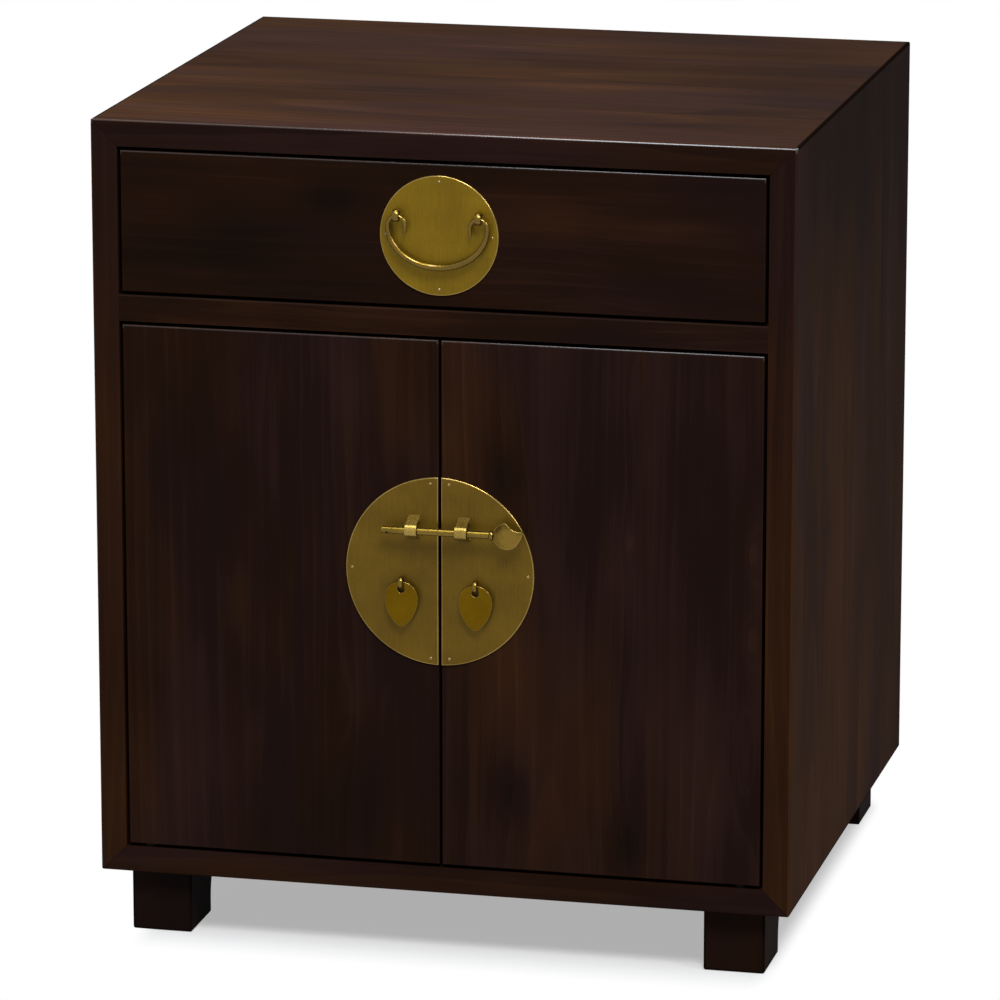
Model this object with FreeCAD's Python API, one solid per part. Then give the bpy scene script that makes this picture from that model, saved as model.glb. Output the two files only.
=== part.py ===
import FreeCAD, Part
import math
import os

os.makedirs("parts", exist_ok=True)
V = FreeCAD.Vector

# A low two-door cabinet with one drawer, on four block feet. Millimetres.
# X runs to the viewer's right, Y to the back and Z up. The origin is on the
# floor, below the middle of the cabinet with its hardware.

# Whole cabinet
cabinet_width = 559.0
cabinet_depth = 501.0
carcass_height = 609.0
foot_height = 52.0

# Used by every cut and by every test of a place
overrun = 5.0
place_tolerance = 0.05

# Carcass boards
board = 21.0
carcass_edge_radius = 1.5
drawer_opening_height = 117.5
spline_thickness = 3.0
spline_width = 12.0
spline_from_inner_corner = 9.5
spline_end_margin = 25.0

# Rail between the drawer and the doors
rail_thickness = 21.0
rail_depth = 62.0
tenon_length = 9.0
tenon_shoulder = 5.0

# Back panel
panel_thickness = 6.0
rabbet_depth = 8.0
rabbet_lip = 8.0
panel_clearance = 0.5

# Wood screws
screw_head_radius = 3.6
screw_head_depth = 2.8
screw_shank_radius = 1.8
panel_screw_length = 15.0
runner_screw_length = 39.0
foot_screw_length = 46.0
panel_screw_rows = 4
panel_screw_columns = 5
screws_per_runner = 3
screws_per_foot = 2

# Feet
foot_width = 49.0
foot_depth = 56.0
foot_inset = 21.5
foot_setback = 13.0
foot_flare = 22.0
foot_flare_start = 12.0
foot_edge_radius = 2.0

# Drawer
reveal = 2.8
drawer_front_thickness = 20.0
drawer_side_thickness = 12.0
drawer_side_height = 108.0
drawer_side_setback = 3.7
drawer_depth = 462.0
drawer_back_thickness = 12.0
drawer_back_drop = 8.0
drawer_housing_depth = 5.0
drawer_bottom_thickness = 6.0
drawer_bottom_rise = 12.0
drawer_groove_depth = 5.0
front_edge_radius = 1.0
tail_length = 14.0
tail_count = 3
tail_end_margin = 5.0
tail_width_share = 0.64
tail_flare_share = 1 / 6

# Drawer runners and stops
ledge_width = 26.0
ledge_thickness = 16.0
guide_height = 14.0
slide_clearance = 0.6
drawer_stop_width = 34.0
drawer_stop_depth = 12.0
drawer_stop_height = 8.0
drawer_stop_place_share = 0.6

# Doors and their pivots
door_thickness = 20.0
door_gap = 2.2
pivot_from_edge = 16.0
pivot_from_front = 8.0
pivot_pin_radius = 2.5
pivot_running_clearance = 0.05
pivot_bush_radius = 4.5
pivot_bush_length = 14.0
pivot_pin_reach = 12.0
pivot_washer_radius = 6.0
door_stop_length = 200.0
door_stop_depth = 12.0
door_stop_height = 12.0

# Shelf
shelf_thickness = 15.0
shelf_front_setback = 40.0
shelf_clearance = 1.0
shelf_height_share = 0.48
shelf_pin_radius = 3.0
shelf_pin_length = 20.0
shelf_pin_end_margin = 50.0

# Brass plates and their nails
plate_thickness = 1.5
plate_edge_radius = 0.5
drawer_plate_radius = 47.2
door_plate_radius = 75.6
door_plate_rise = 27.0
nail_inset = 5.0
nail_head_radius = 1.3
nail_head_height = 0.6
nail_shank_radius = 0.7
nail_length = 12.0
nail_from_door_edge = 6.4

# Bail handle of the drawer and its two eyes
bail_eye_spacing = 65.2
bail_eye_rise = 15.8
bail_eye_inner_radius = 3.2
bail_eye_thickness = 2.0
bail_eye_width = 5.0
bail_arch_radius = 7.0
bail_drop = 39.1
bail_tip_drop = 14.8
bail_tip_lean = 1.4
bail_radius_middle = 2.6
bail_radius_limb = 2.1
bail_radius_eye = 1.7
bail_radius_tip = 0.6
arch_stations = 6
bow_stations = 14
clench_length = 8.0
rest_gap = 0.25

# Slide bolt and its two staples
bolt_standoff = 12.0
bolt_rise = 34.4
bolt_radius = 2.85
bolt_tip_reach = 44.3
bolt_tip_round = 0.8
bolt_collar_place = 44.0
bolt_collar_radius = 3.8
bolt_collar_width = 3.0
bolt_hole_radius = 1.0
bolt_hole_from_tip = 5.0
bolt_hole_tilt = 40.0
bolt_head_place = 56.0
bolt_head_radius = 10.7
bolt_head_thickness = 2.4
bite_across = 9.5
bite_up = 12.0
bite_radius = 7.5
beak_angle = -57.0
beak_foot_angle = -28.0
beak_belly = 1.5
staple_place = 20.0
staple_width = 9.6
staple_inner_radius = 3.9
staple_thickness = 1.5
prong_width = 4.0

# Drop pendants of the doors and their eyes
pendant_eye_place = 29.8
pendant_eye_drop = 8.8
pendant_eye_inner_radius = 3.2
pendant_eye_thickness = 1.7
pendant_eye_width = 3.4
pendant_height = 36.4
pendant_half_width = 13.5
pendant_tip_radius = 4.5
pendant_thickness = 1.6
pendant_edge_radius = 0.4
pendant_bridge = 3.0
pendant_hole_radius = 3.0

# Places that follow from the sizes above
half_width = cabinet_width / 2
inner_half = half_width - board
staple_outer_radius = staple_inner_radius + staple_thickness
hardware_reach = bolt_standoff + staple_outer_radius
front_y = (hardware_reach - cabinet_depth) / 2
back_y = front_y + cabinet_depth
carcass_bottom = foot_height
carcass_top = carcass_bottom + carcass_height
inside_floor = carcass_bottom + board
inside_top = carcass_top - board
rail_top = inside_top - drawer_opening_height
rail_bottom = rail_top - rail_thickness
rail_back = front_y + rail_depth
panel_front = back_y - rabbet_depth
drawer_front_half = inner_half - reveal
drawer_front_back = front_y + drawer_front_thickness
drawer_box_half = drawer_front_half - drawer_side_setback
drawer_end = front_y + drawer_depth
drawer_centre_z = (rail_top + inside_top) / 2
door_bottom = inside_floor + reveal
door_top = rail_bottom - reveal
door_back = front_y + door_thickness
door_plate_z = (door_bottom + door_top) / 2 + door_plate_rise
pivot_x = inner_half - reveal - pivot_from_edge
pivot_y = front_y + pivot_from_front
plate_front = front_y - plate_thickness
shelf_underside = inside_floor + (rail_bottom - inside_floor) * shelf_height_share


def block(x, y, z):
    """A box between two values of x, two of y and two of z, in any order."""
    low = V(min(x), min(y), min(z))
    return Part.makeBox(max(x) - low.x, max(y) - low.y, max(z) - low.z, low)


def prism(points, along):
    """A flat outline of straight edges, pushed along a vector."""
    return Part.Face(Part.makePolygon(points + points[:1])).extrude(along)


def fuse(shapes):
    """Several solids joined into one."""
    return shapes[0].multiFuse(shapes[1:]).removeSplitter()


def ease(shape, radius, picked):
    """Round the edges that a test picks."""
    return shape.makeFillet(radius, [e for e in shape.Edges if picked(e)])


def on_plane(edge, y):
    """Whether an edge lies in the upright plane at y."""
    box = edge.BoundBox
    return abs(box.YMin - y) + abs(box.YMax - y) < place_tolerance


def screw(head, direction, length):
    """A countersunk wood screw whose head lies flush at a point."""
    cone = Part.makeCone(screw_head_radius, screw_shank_radius, screw_head_depth, head, direction)
    return cone.fuse(Part.makeCylinder(screw_shank_radius, length, head, direction))


def spread(low, high, count):
    """Evenly spaced places from low to high, both ends included."""
    return [low + (high - low) * n / (count - 1) for n in range(count)]


# Carcass
def carcass_block():
    """The carcass as one solid box with eased edges, before it is divided into boards."""
    whole = block((-half_width, half_width), (front_y, back_y), (carcass_bottom, carcass_top))
    return ease(whole, carcass_edge_radius, lambda edge: True)


def mitre_splines():
    """The four strips of wood hidden across the mitred corners."""
    strips = []
    for side in (-1, 1):
        for up, corner_z in ((-1, inside_floor), (1, inside_top)):
            outward = V(side, 0, up).normalize()
            across = V(side, 0, -up).normalize() * (spline_width / 2)
            middle = V(side * inner_half, front_y + spline_end_margin, corner_z)
            middle += outward * spline_from_inner_corner
            thick = outward * (spline_thickness / 2)
            points = [middle + across + thick, middle - across + thick]
            points += [middle - across - thick, middle + across - thick]
            length = panel_front - spline_end_margin - (front_y + spline_end_margin)
            strips.append(prism(points, V(0, length, 0)))
    return Part.Compound(strips)


def mitred_board(corners):
    """One board of the carcass, with its end outline given as outer and inner corners."""
    points = [V(x, front_y - overrun, z) for x, z in corners]
    wedge = prism(points, V(0, cabinet_depth + 2 * overrun, 0))
    rabbet = block(
        (-inner_half - rabbet_lip, inner_half + rabbet_lip),
        (panel_front, back_y + overrun),
        (inside_floor - rabbet_lip, inside_top + rabbet_lip),
    )
    cuts = [rabbet, mitre_splines(), rail_tenons(), runner_screws(), panel_screws()]
    cuts += [foot_screws(), pivot_pins(), shelf_pins()]
    return carcass_block().common(wedge).cut(cuts)


def flat_board(up):
    """The top board with up = 1, or the bottom board with up = -1."""
    outer_z = carcass_top + overrun if up > 0 else carcass_bottom - overrun
    inner_z = inside_top if up > 0 else inside_floor
    outer_x = half_width + overrun
    return mitred_board(
        [(-outer_x, outer_z), (outer_x, outer_z), (inner_half, inner_z), (-inner_half, inner_z)]
    )


def side_board(side):
    """The left side with side = -1, or the right side with side = 1."""
    outer_x = side * (half_width + overrun)
    low, high = carcass_bottom - overrun, carcass_top + overrun
    inner_x = side * inner_half
    return mitred_board(
        [(outer_x, low), (outer_x, high), (inner_x, inside_top), (inner_x, inside_floor)]
    )


def rail_tenons():
    """The two tenons of the rail, which sit in the sides."""
    deep = (front_y + tenon_shoulder, rail_back - tenon_shoulder)
    high = (rail_bottom + tenon_shoulder, rail_top - tenon_shoulder)
    ends = [(side * inner_half, side * (inner_half + tenon_length)) for side in (-1, 1)]
    return Part.Compound([block(x, deep, high) for x in ends])


def mid_rail():
    """The rail between the drawer and the doors."""
    bar = block((-inner_half, inner_half), (front_y, rail_back), (rail_bottom, rail_top))
    return fuse([bar] + rail_tenons().Solids).cut(pivot_pins())


def back_panel():
    """The thin panel that closes the back, in its rabbet."""
    half = inner_half + rabbet_lip - panel_clearance
    low = inside_floor - rabbet_lip + panel_clearance
    high = inside_top + rabbet_lip - panel_clearance
    panel = block((-half, half), (panel_front, panel_front + panel_thickness), (low, high))
    return panel.cut(panel_screws())


def panel_screws():
    """The screws that hold the back panel, all round its edge."""
    middle = rabbet_lip / 2
    across = inner_half + middle
    low, high = inside_floor - middle, inside_top + middle
    places = [(x, z) for x in (-across, across) for z in spread(low, high, panel_screw_rows)]
    inner = spread(-across, across, panel_screw_columns)[1:-1]
    places += [(x, z) for x in inner for z in (low, high)]
    y = panel_front + panel_thickness
    return Part.Compound([screw(V(x, y, z), V(0, -1, 0), panel_screw_length) for x, z in places])


# Feet
def foot(side, end):
    """A block foot; side is -1 or 1 for left or right, end is -1 or 1 for front or rear."""
    outer_x = side * (half_width - foot_inset)
    outer_y = front_y + foot_setback if end < 0 else back_y - foot_setback
    inward = -end

    def at(depth, z):
        return V(outer_x, outer_y + inward * depth, z)

    radius = ((foot_height - foot_flare_start) ** 2 + foot_flare**2) / (2 * foot_flare)
    turn = math.asin((foot_height - foot_flare_start) / radius) / 2
    middle = at(
        foot_depth + radius * (1 - math.cos(turn)), foot_flare_start + radius * math.sin(turn)
    )
    start, finish = at(foot_depth, foot_flare_start), at(foot_depth + foot_flare, foot_height)
    outline = [Part.LineSegment(at(0, 0), at(foot_depth, 0)).toShape()]
    outline.append(Part.LineSegment(at(foot_depth, 0), start).toShape())
    outline.append(Part.Arc(start, middle, finish).toShape())
    outline.append(Part.LineSegment(finish, at(0, foot_height)).toShape())
    outline.append(Part.LineSegment(at(0, foot_height), at(0, 0)).toShape())
    solid = Part.Face(Part.Wire(outline)).extrude(V(-side * foot_width, 0, 0))

    def eased(edge):
        box = edge.BoundBox
        upright = box.ZMax - box.ZMin > foot_height - place_tolerance
        return box.ZMax < place_tolerance or (upright and on_plane(edge, outer_y))

    return ease(solid, foot_edge_radius, eased).cut(foot_screws())


def foot_screws():
    """The screws driven down through the bottom board into the feet."""
    screws = []
    for side in (-1, 1):
        x = side * (half_width - foot_inset - foot_width / 2)
        for outer, inward in ((front_y + foot_setback, 1), (back_y - foot_setback, -1)):
            for step in range(1, screws_per_foot + 1):
                y = outer + inward * foot_depth * step / (screws_per_foot + 1)
                screws.append(screw(V(x, y, inside_floor), V(0, 0, -1), foot_screw_length))
    return Part.Compound(screws)


# Inside the carcass
def drawer_runner(side):
    """An L of wood on a side board: the drawer's side slides on its ledge, along its guide."""
    deep = (rail_back, panel_front)
    wall = side * inner_half
    ledge = block((wall, side * (inner_half - ledge_width)), deep, (rail_top - ledge_thickness, rail_top))
    guide_face = side * (drawer_box_half + slide_clearance)
    guide = block((wall, guide_face), deep, (rail_top, rail_top + guide_height))
    return fuse([ledge, guide]).cut(runner_screws())


def runner_screws():
    """The screws that hold both runners to the sides."""
    screws = []
    margin = ledge_width
    for side in (-1, 1):
        for y in spread(rail_back + margin, panel_front - margin, screws_per_runner):
            head = V(side * (inner_half - ledge_width), y, rail_top - ledge_thickness / 2)
            screws.append(screw(head, V(side, 0, 0), runner_screw_length))
    return Part.Compound(screws)


def drawer_stops():
    """Two blocks on the rail that the drawer front closes against."""
    places = (-inner_half * drawer_stop_place_share, inner_half * drawer_stop_place_share)
    deep = (drawer_front_back, drawer_front_back + drawer_stop_depth)
    high = (rail_top, rail_top + drawer_stop_height)
    half = drawer_stop_width / 2
    return Part.Compound([block((x - half, x + half), deep, high) for x in places])


def door_stop():
    """The strip under the rail that both doors close against."""
    half = door_stop_length / 2
    deep = (door_back, door_back + door_stop_depth)
    return block((-half, half), deep, (rail_bottom - door_stop_height, rail_bottom))


def shelf():
    """The shelf behind the doors, on four pins."""
    half = inner_half - shelf_clearance
    deep = (front_y + shelf_front_setback, panel_front - shelf_clearance)
    return block((-half, half), deep, (shelf_underside, shelf_underside + shelf_thickness))


def shelf_pins():
    """The four round pins in the sides that carry the shelf."""
    pins = []
    margin = shelf_front_setback + shelf_pin_end_margin
    for side in (-1, 1):
        for y in (front_y + margin, panel_front - shelf_pin_end_margin):
            start = V(side * (inner_half - shelf_pin_length / 2), y, shelf_underside - shelf_pin_radius)
            pins.append(Part.makeCylinder(shelf_pin_radius, shelf_pin_length, start, V(side, 0, 0)))
    return Part.Compound(pins)


def pivot_pins():
    """The four pins that the doors turn on, driven through the bottom board and the rail."""
    pins = []
    reach = reveal + pivot_pin_reach
    for side in (-1, 1):
        low = V(side * pivot_x, pivot_y, carcass_bottom)
        high = V(side * pivot_x, pivot_y, rail_top)
        pins.append(Part.makeCylinder(pivot_pin_radius, board + reach, low))
        length = rail_thickness + reach
        pins.append(Part.makeCylinder(pivot_pin_radius, length, high, V(0, 0, -1)))
    return Part.Compound(pins)


def pivot_washers():
    """The two washers that the doors stand on."""
    washers = []
    bore = pivot_pin_radius + pivot_running_clearance
    for side in (-1, 1):
        base = V(side * pivot_x, pivot_y, inside_floor)
        disc = Part.makeCylinder(pivot_washer_radius, reveal, base)
        washers.append(disc.cut(Part.makeCylinder(bore, reveal, base)))
    return Part.Compound(washers)


# Drawer
def tails(side):
    """The dovetails on the front end of a drawer side."""
    low = rail_top + reveal + tail_end_margin
    high = rail_top + drawer_side_height - tail_end_margin
    pitch = (high - low) / tail_count
    half_tip = pitch * tail_width_share / 2
    half_root = half_tip - tail_length * tail_flare_share
    x = side * (drawer_box_half - drawer_side_thickness)
    tip_y = drawer_front_back - tail_length
    solids = []
    for n in range(tail_count):
        z = low + pitch * (n + 1 / 2)
        points = [V(x, drawer_front_back, z - half_root), V(x, tip_y, z - half_tip)]
        points += [V(x, tip_y, z + half_tip), V(x, drawer_front_back, z + half_root)]
        solids.append(prism(points, V(side * drawer_side_thickness, 0, 0)))
    return solids


def drawer_side(side):
    """A drawer side, dovetailed into the front, with the bottom's groove and the back's housing."""
    x = (side * drawer_box_half, side * (drawer_box_half - drawer_side_thickness))
    plank = block(x, (drawer_front_back, drawer_end), (rail_top, rail_top + drawer_side_height))
    return fuse([plank] + tails(side)).cut([drawer_bottom(), drawer_back()])


def drawer_front():
    """The drawer front, with sockets for the dovetails and a groove for the bottom."""
    high = (rail_top + reveal, inside_top - reveal)
    slab = block((-drawer_front_half, drawer_front_half), (front_y, drawer_front_back), high)
    slab = ease(slab, front_edge_radius, lambda edge: on_plane(edge, front_y))
    cuts = tails(-1) + tails(1) + [drawer_bottom(), drawer_nails(), bail_eye(-1), bail_eye(1)]
    return slab.cut(cuts)


def drawer_back():
    """The drawer back, housed in the sides above the bottom."""
    half = drawer_box_half - drawer_side_thickness + drawer_housing_depth
    low = rail_top + drawer_bottom_rise + drawer_bottom_thickness
    high = rail_top + drawer_side_height - drawer_back_drop
    rear = drawer_end - drawer_back_thickness
    return block((-half, half), (rear - drawer_back_thickness, rear), (low, high))


def drawer_bottom():
    """The drawer bottom, in the grooves of the front and the sides."""
    half = drawer_box_half - drawer_side_thickness + drawer_groove_depth
    low = rail_top + drawer_bottom_rise
    deep = (drawer_front_back - drawer_groove_depth, drawer_end)
    return block((-half, half), deep, (low, low + drawer_bottom_thickness))


# Brass hardware
def nail(x, z):
    """A small round-headed nail driven back through a plate, turned as one outline."""
    dome_radius = (nail_head_radius**2 + nail_head_height**2) / (2 * nail_head_height)
    crown_y = plate_front - nail_head_height
    turn = math.asin(nail_head_radius / dome_radius) / 2
    crown, rim = V(x, crown_y, z), V(x + nail_head_radius, plate_front, z)
    middle = V(x + dome_radius * math.sin(turn), crown_y + dome_radius * (1 - math.cos(turn)), z)
    neck, end = V(x + nail_shank_radius, plate_front, z), V(x, plate_front + nail_length, z)
    corner = V(neck.x, end.y, z)
    outline = [Part.Arc(crown, middle, rim).toShape(), Part.makePolygon([rim, neck, corner, end, crown])]
    return Part.Face(Part.Wire(outline)).revolve(crown, V(0, 1, 0), 360)


def round_plate(radius, z):
    """A whole round plate flat on the front, with an eased rim."""
    disc = Part.makeCylinder(radius, plate_thickness, V(0, plate_front, z), V(0, 1, 0))
    return ease(disc, plate_edge_radius, lambda edge: on_plane(edge, plate_front))


def drawer_nails():
    """The four nails of the drawer's plate."""
    radius = drawer_plate_radius - nail_inset
    turns = [math.radians(quarter * 90) for quarter in range(4)]
    places = [(radius * math.cos(t), drawer_centre_z + radius * math.sin(t)) for t in turns]
    return Part.Compound([nail(x, z) for x, z in places])


def door_nails(side):
    """The three nails of one half plate."""
    radius = door_plate_radius - nail_inset
    near = door_gap / 2 + nail_from_door_edge
    rise = math.sqrt(radius**2 - near**2)
    places = [(side * near, rise), (side * near, -rise), (side * radius, 0)]
    return Part.Compound([nail(x, door_plate_z + z) for x, z in places])


def drawer_plate():
    """The round plate of the drawer."""
    plate = round_plate(drawer_plate_radius, drawer_centre_z)
    return plate.cut([drawer_nails(), bail_eye(-1), bail_eye(1)])


def door_plate(side):
    """One half of the doors' round plate, up to the edge of its door."""
    radius = door_plate_radius + overrun
    keep = block(
        (side * door_gap / 2, side * radius),
        (plate_front - overrun, front_y + overrun),
        (door_plate_z - radius, door_plate_z + radius),
    )
    plate = round_plate(door_plate_radius, door_plate_z).common(keep)
    return plate.cut([door_nails(side), staple(side), pendant_eye(side)])


def clenched_eye(x, z, inner, thick, width, wood_back):
    """A strap bent to a ring, its two legs driven back together and clenched behind the wood."""
    outer = inner + thick
    middle_y = plate_front - outer
    left = V(x - width / 2, middle_y, z)
    along = V(1, 0, 0)
    across = (x - width / 2, x + width / 2)
    ring = Part.makeCylinder(outer, width, left, along)
    legs = block(across, (plate_front - thick / 2, wood_back), (z - thick, z + thick))
    bar = block(across, (wood_back, wood_back + thick), (z - clench_length, z + clench_length))
    solid = fuse([ring, legs, bar])
    return solid.cut(Part.makeCylinder(inner, width, left, along))


def bail_eye(side):
    """One of the two eyes that carry the bail."""
    x, z = side * bail_eye_spacing / 2, drawer_centre_z + bail_eye_rise
    sizes = (bail_eye_inner_radius, bail_eye_thickness, bail_eye_width)
    return clenched_eye(x, z, *sizes, drawer_front_back)


def pendant_eye(side):
    """The eye that carries a door's pendant."""
    x, z = side * pendant_eye_place, door_plate_z - pendant_eye_drop
    sizes = (pendant_eye_inner_radius, pendant_eye_thickness, pendant_eye_width)
    return clenched_eye(x, z, *sizes, door_back)


def bail_axis():
    """The height and the depth of the line that the bail turns on, and the arch's fall in an eye."""
    tilt = math.asin(bail_eye_width / 2 / bail_arch_radius)
    sag = bail_arch_radius * (1 - math.cos(tilt))
    reach = bail_radius_eye / math.cos(tilt) + sag / 2
    low = bail_eye_inner_radius - reach - rest_gap
    height = drawer_centre_z + bail_eye_rise - low
    depth = plate_front - bail_eye_inner_radius - bail_eye_thickness
    return height, depth, sag


def bail_half_path():
    """Places, directions and radii along the bail's right half, from its tip to the middle."""
    height, depth, sag = bail_axis()
    eye_x = bail_eye_spacing / 2
    apex_z = height + sag / 2
    spring_z = apex_z - bail_arch_radius
    outer_x = eye_x + bail_arch_radius
    inner_x = eye_x - bail_arch_radius
    limb_drop = bail_tip_drop - bail_arch_radius
    limb_radius = (limb_drop**2 + bail_tip_lean**2) / (2 * bail_tip_lean)
    limb_turn = math.asin(limb_drop / limb_radius)
    bow_height = bail_drop - bail_arch_radius
    path = []
    for share in (1, 1 / 2):
        turn = limb_turn * share
        x = inner_x + limb_radius * (1 - math.cos(turn))
        place = V(x, depth, spring_z - limb_radius * math.sin(turn))
        radius = bail_radius_eye + (bail_radius_tip - bail_radius_eye) * share
        path.append((place, V(-math.sin(turn), 0, math.cos(turn)), radius))
    for turn in spread(math.pi, 0, arch_stations + 1):
        x = eye_x + bail_arch_radius * math.cos(turn)
        place = V(x, depth, spring_z + bail_arch_radius * math.sin(turn))
        path.append((place, V(math.sin(turn), 0, -math.cos(turn)), bail_radius_eye))
    for turn in spread(0, math.pi / 2, bow_stations // 2 + 1)[1:]:
        place = V(outer_x * math.cos(turn), depth, spring_z - bow_height * math.sin(turn))
        along = V(-outer_x * math.sin(turn), 0, -bow_height * math.cos(turn)).normalize()
        limb = bail_radius_limb - bail_radius_eye
        swell = (bail_radius_middle - bail_radius_limb) * math.sin(turn)
        radius = bail_radius_eye + limb * min(1, 2 * math.sin(turn)) + swell
        path.append((place, along, radius))
    return path


def drawer_bail():
    """The curved bail: a round bar that tapers to a point past each eye."""
    right = bail_half_path()
    left = [(V(-p.x, p.y, p.z), V(d.x, 0, -d.z), r) for p, d, r in right[-2::-1]]
    rings = [Part.Wire(Part.makeCircle(r, p, d)) for p, d, r in right + left]
    return Part.makeLoft(rings, True, False)


def staple(side):
    """A strap over the bolt, shouldered on the plate, its two prongs clenched behind the door."""
    x, z = side * staple_place, door_plate_z + staple_rise()
    middle_y = front_y - bolt_standoff
    left = V(x - staple_width / 2, middle_y, z)
    along = V(1, 0, 0)
    across = (x - staple_width / 2, x + staple_width / 2)
    ring = Part.makeCylinder(staple_outer_radius, staple_width, left, along)
    upright = (z - staple_outer_radius, z + staple_outer_radius)
    ring = ring.common(block(across, (middle_y - staple_outer_radius, middle_y), upright))
    pieces = [ring, block(across, (middle_y, plate_front), upright)]
    hollow = [Part.makeCylinder(staple_inner_radius, staple_width, left, along)]
    gap = (z - staple_inner_radius, z + staple_inner_radius)
    hollow.append(block(across, (middle_y, plate_front), gap))
    strap = fuse(pieces).cut(hollow)
    narrow = (x - prong_width / 2, x + prong_width / 2)
    prongs = []
    for up in (-1, 1):
        near, far = z + up * staple_inner_radius, z + up * staple_outer_radius
        end = z + up * (staple_outer_radius + clench_length)
        prongs.append(block(narrow, (plate_front, door_back + staple_thickness), (near, far)))
        prongs.append(block(narrow, (door_back, door_back + staple_thickness), (near, end)))
    return fuse([strap] + prongs)


def staple_rise():
    """How far the staples' rings lie above the plate's middle: the bolt rests low in them."""
    return bolt_rise + staple_inner_radius - bolt_radius - rest_gap


def bolt_head(x, y, z):
    """The flat head of the bolt: a disc with a bite out of it that ends in a beak."""
    def at(across, up):
        return V(x + across, y + bolt_head_thickness / 2, z + up)

    away = math.hypot(bite_across, bite_up)
    along = (bolt_head_radius**2 - bite_radius**2 + away**2) / (2 * away)
    beside = math.sqrt(bolt_head_radius**2 - along**2)
    share_across, share_up = bite_across / away, bite_up / away
    shoulder = (share_across * along - share_up * beside, share_up * along + share_across * beside)
    beak_turn, foot_turn = math.radians(beak_angle), math.radians(beak_foot_angle)
    beak = (
        bite_across + bite_radius * math.cos(beak_turn),
        bite_up + bite_radius * math.sin(beak_turn),
    )
    foot_point = (bolt_head_radius * math.cos(foot_turn), bolt_head_radius * math.sin(foot_turn))
    bottom_turn = math.atan2(share_up, share_across) + math.pi
    bottom = (bolt_head_radius * math.cos(bottom_turn), bolt_head_radius * math.sin(bottom_turn))
    inner_bite = (bite_across - bite_radius * share_across, bite_up - bite_radius * share_up)
    belly = ((beak[0] + foot_point[0]) / 2 + beak_belly, (beak[1] + foot_point[1]) / 2)
    edges = [
        Part.Arc(at(*shoulder), at(*bottom), at(*foot_point)).toShape(),
        Part.Arc(at(*foot_point), at(*belly), at(*beak)).toShape(),
        Part.Arc(at(*beak), at(*inner_bite), at(*shoulder)).toShape(),
    ]
    return Part.Face(Part.Wire(edges)).extrude(V(0, -bolt_head_thickness, 0))


def slide_bolt():
    """The round bolt through both staples, with a collar and a flat head."""
    y, z = front_y - bolt_standoff, door_plate_z + bolt_rise
    along = V(1, 0, 0)
    tip = V(-bolt_tip_reach, y, z)
    rod_length = bolt_tip_reach + bolt_head_place - bolt_head_radius / 2
    rod = Part.makeCylinder(bolt_radius, rod_length, tip, along)
    rod = ease(rod, bolt_tip_round, lambda edge: edge.BoundBox.XMax < bolt_tip_round - bolt_tip_reach)
    collar_start = V(bolt_collar_place - bolt_collar_width / 2, y, z)
    collar = Part.makeCylinder(bolt_collar_radius, bolt_collar_width, collar_start, along)
    turn = math.radians(bolt_hole_tilt)
    through = V(0, math.cos(turn), math.sin(turn))
    hole_start = V(bolt_hole_from_tip - bolt_tip_reach, y, z) - through * bolt_radius * 2
    hole = Part.makeCylinder(bolt_hole_radius, bolt_radius * 4, hole_start, through)
    return fuse([rod, collar, bolt_head(bolt_head_place, y, z)]).cut(hole)


def pendant_axis():
    """The height and the depth of the line that the pendants turn on."""
    sag = pendant_hole_radius - math.sqrt(pendant_hole_radius**2 - (pendant_eye_width / 2) ** 2)
    corner = math.hypot(pendant_thickness / 2, pendant_bridge / 2 + sag)
    low = pendant_eye_inner_radius - corner - rest_gap
    height = door_plate_z - pendant_eye_drop - low
    return height, plate_front - pendant_eye_inner_radius - pendant_eye_thickness


def pendant(side):
    """A flat drop with a round top and a narrow round tip, hung through its eye."""
    axis_z, y = pendant_axis()
    x = side * pendant_eye_place
    top = axis_z + pendant_bridge / 2
    wide_z = top - pendant_half_width
    tip_z = top - pendant_height + pendant_tip_radius
    fall = wide_z - tip_z
    flank = (fall**2 + pendant_half_width**2 - pendant_tip_radius**2) / (
        2 * (pendant_half_width - pendant_tip_radius)
    )
    touch = math.atan2(fall, flank - pendant_half_width)

    def at(across, z):
        return V(x + across, y + pendant_thickness / 2, z)

    def on_flank(sign, turn):
        across = pendant_half_width - flank + flank * math.cos(turn)
        return at(sign * across, wide_z - flank * math.sin(turn))

    left, right = at(-pendant_half_width, wide_z), at(pendant_half_width, wide_z)
    low_left, low_right = on_flank(-1, touch), on_flank(1, touch)
    arcs = [
        (left, at(0, top), right),
        (right, on_flank(1, touch / 2), low_right),
        (low_right, at(0, tip_z - pendant_tip_radius), low_left),
        (low_left, on_flank(-1, touch / 2), left),
    ]
    outline = Part.Wire([Part.Arc(*points).toShape() for points in arcs])
    leaf = Part.Face(outline).extrude(V(0, -pendant_thickness, 0))
    leaf = ease(leaf, pendant_edge_radius, lambda edge: on_plane(edge, y - pendant_thickness / 2))
    hole_z = axis_z - pendant_bridge / 2 - pendant_hole_radius
    start = V(x, y - pendant_thickness, hole_z)
    return leaf.cut(Part.makeCylinder(pendant_hole_radius, pendant_thickness * 2, start, V(0, 1, 0)))


# Doors
def door(side):
    """A flat door, with bores for its bushes and slots for its hardware."""
    near, far = side * door_gap / 2, side * drawer_front_half
    slab = block((near, far), (front_y, door_back), (door_bottom, door_top))
    slab = ease(slab, front_edge_radius, lambda edge: on_plane(edge, front_y))
    cuts = [door_nails(side), staple(side), pendant_eye(side)] + bush_bodies(side)
    return slab.cut(cuts)


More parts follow.
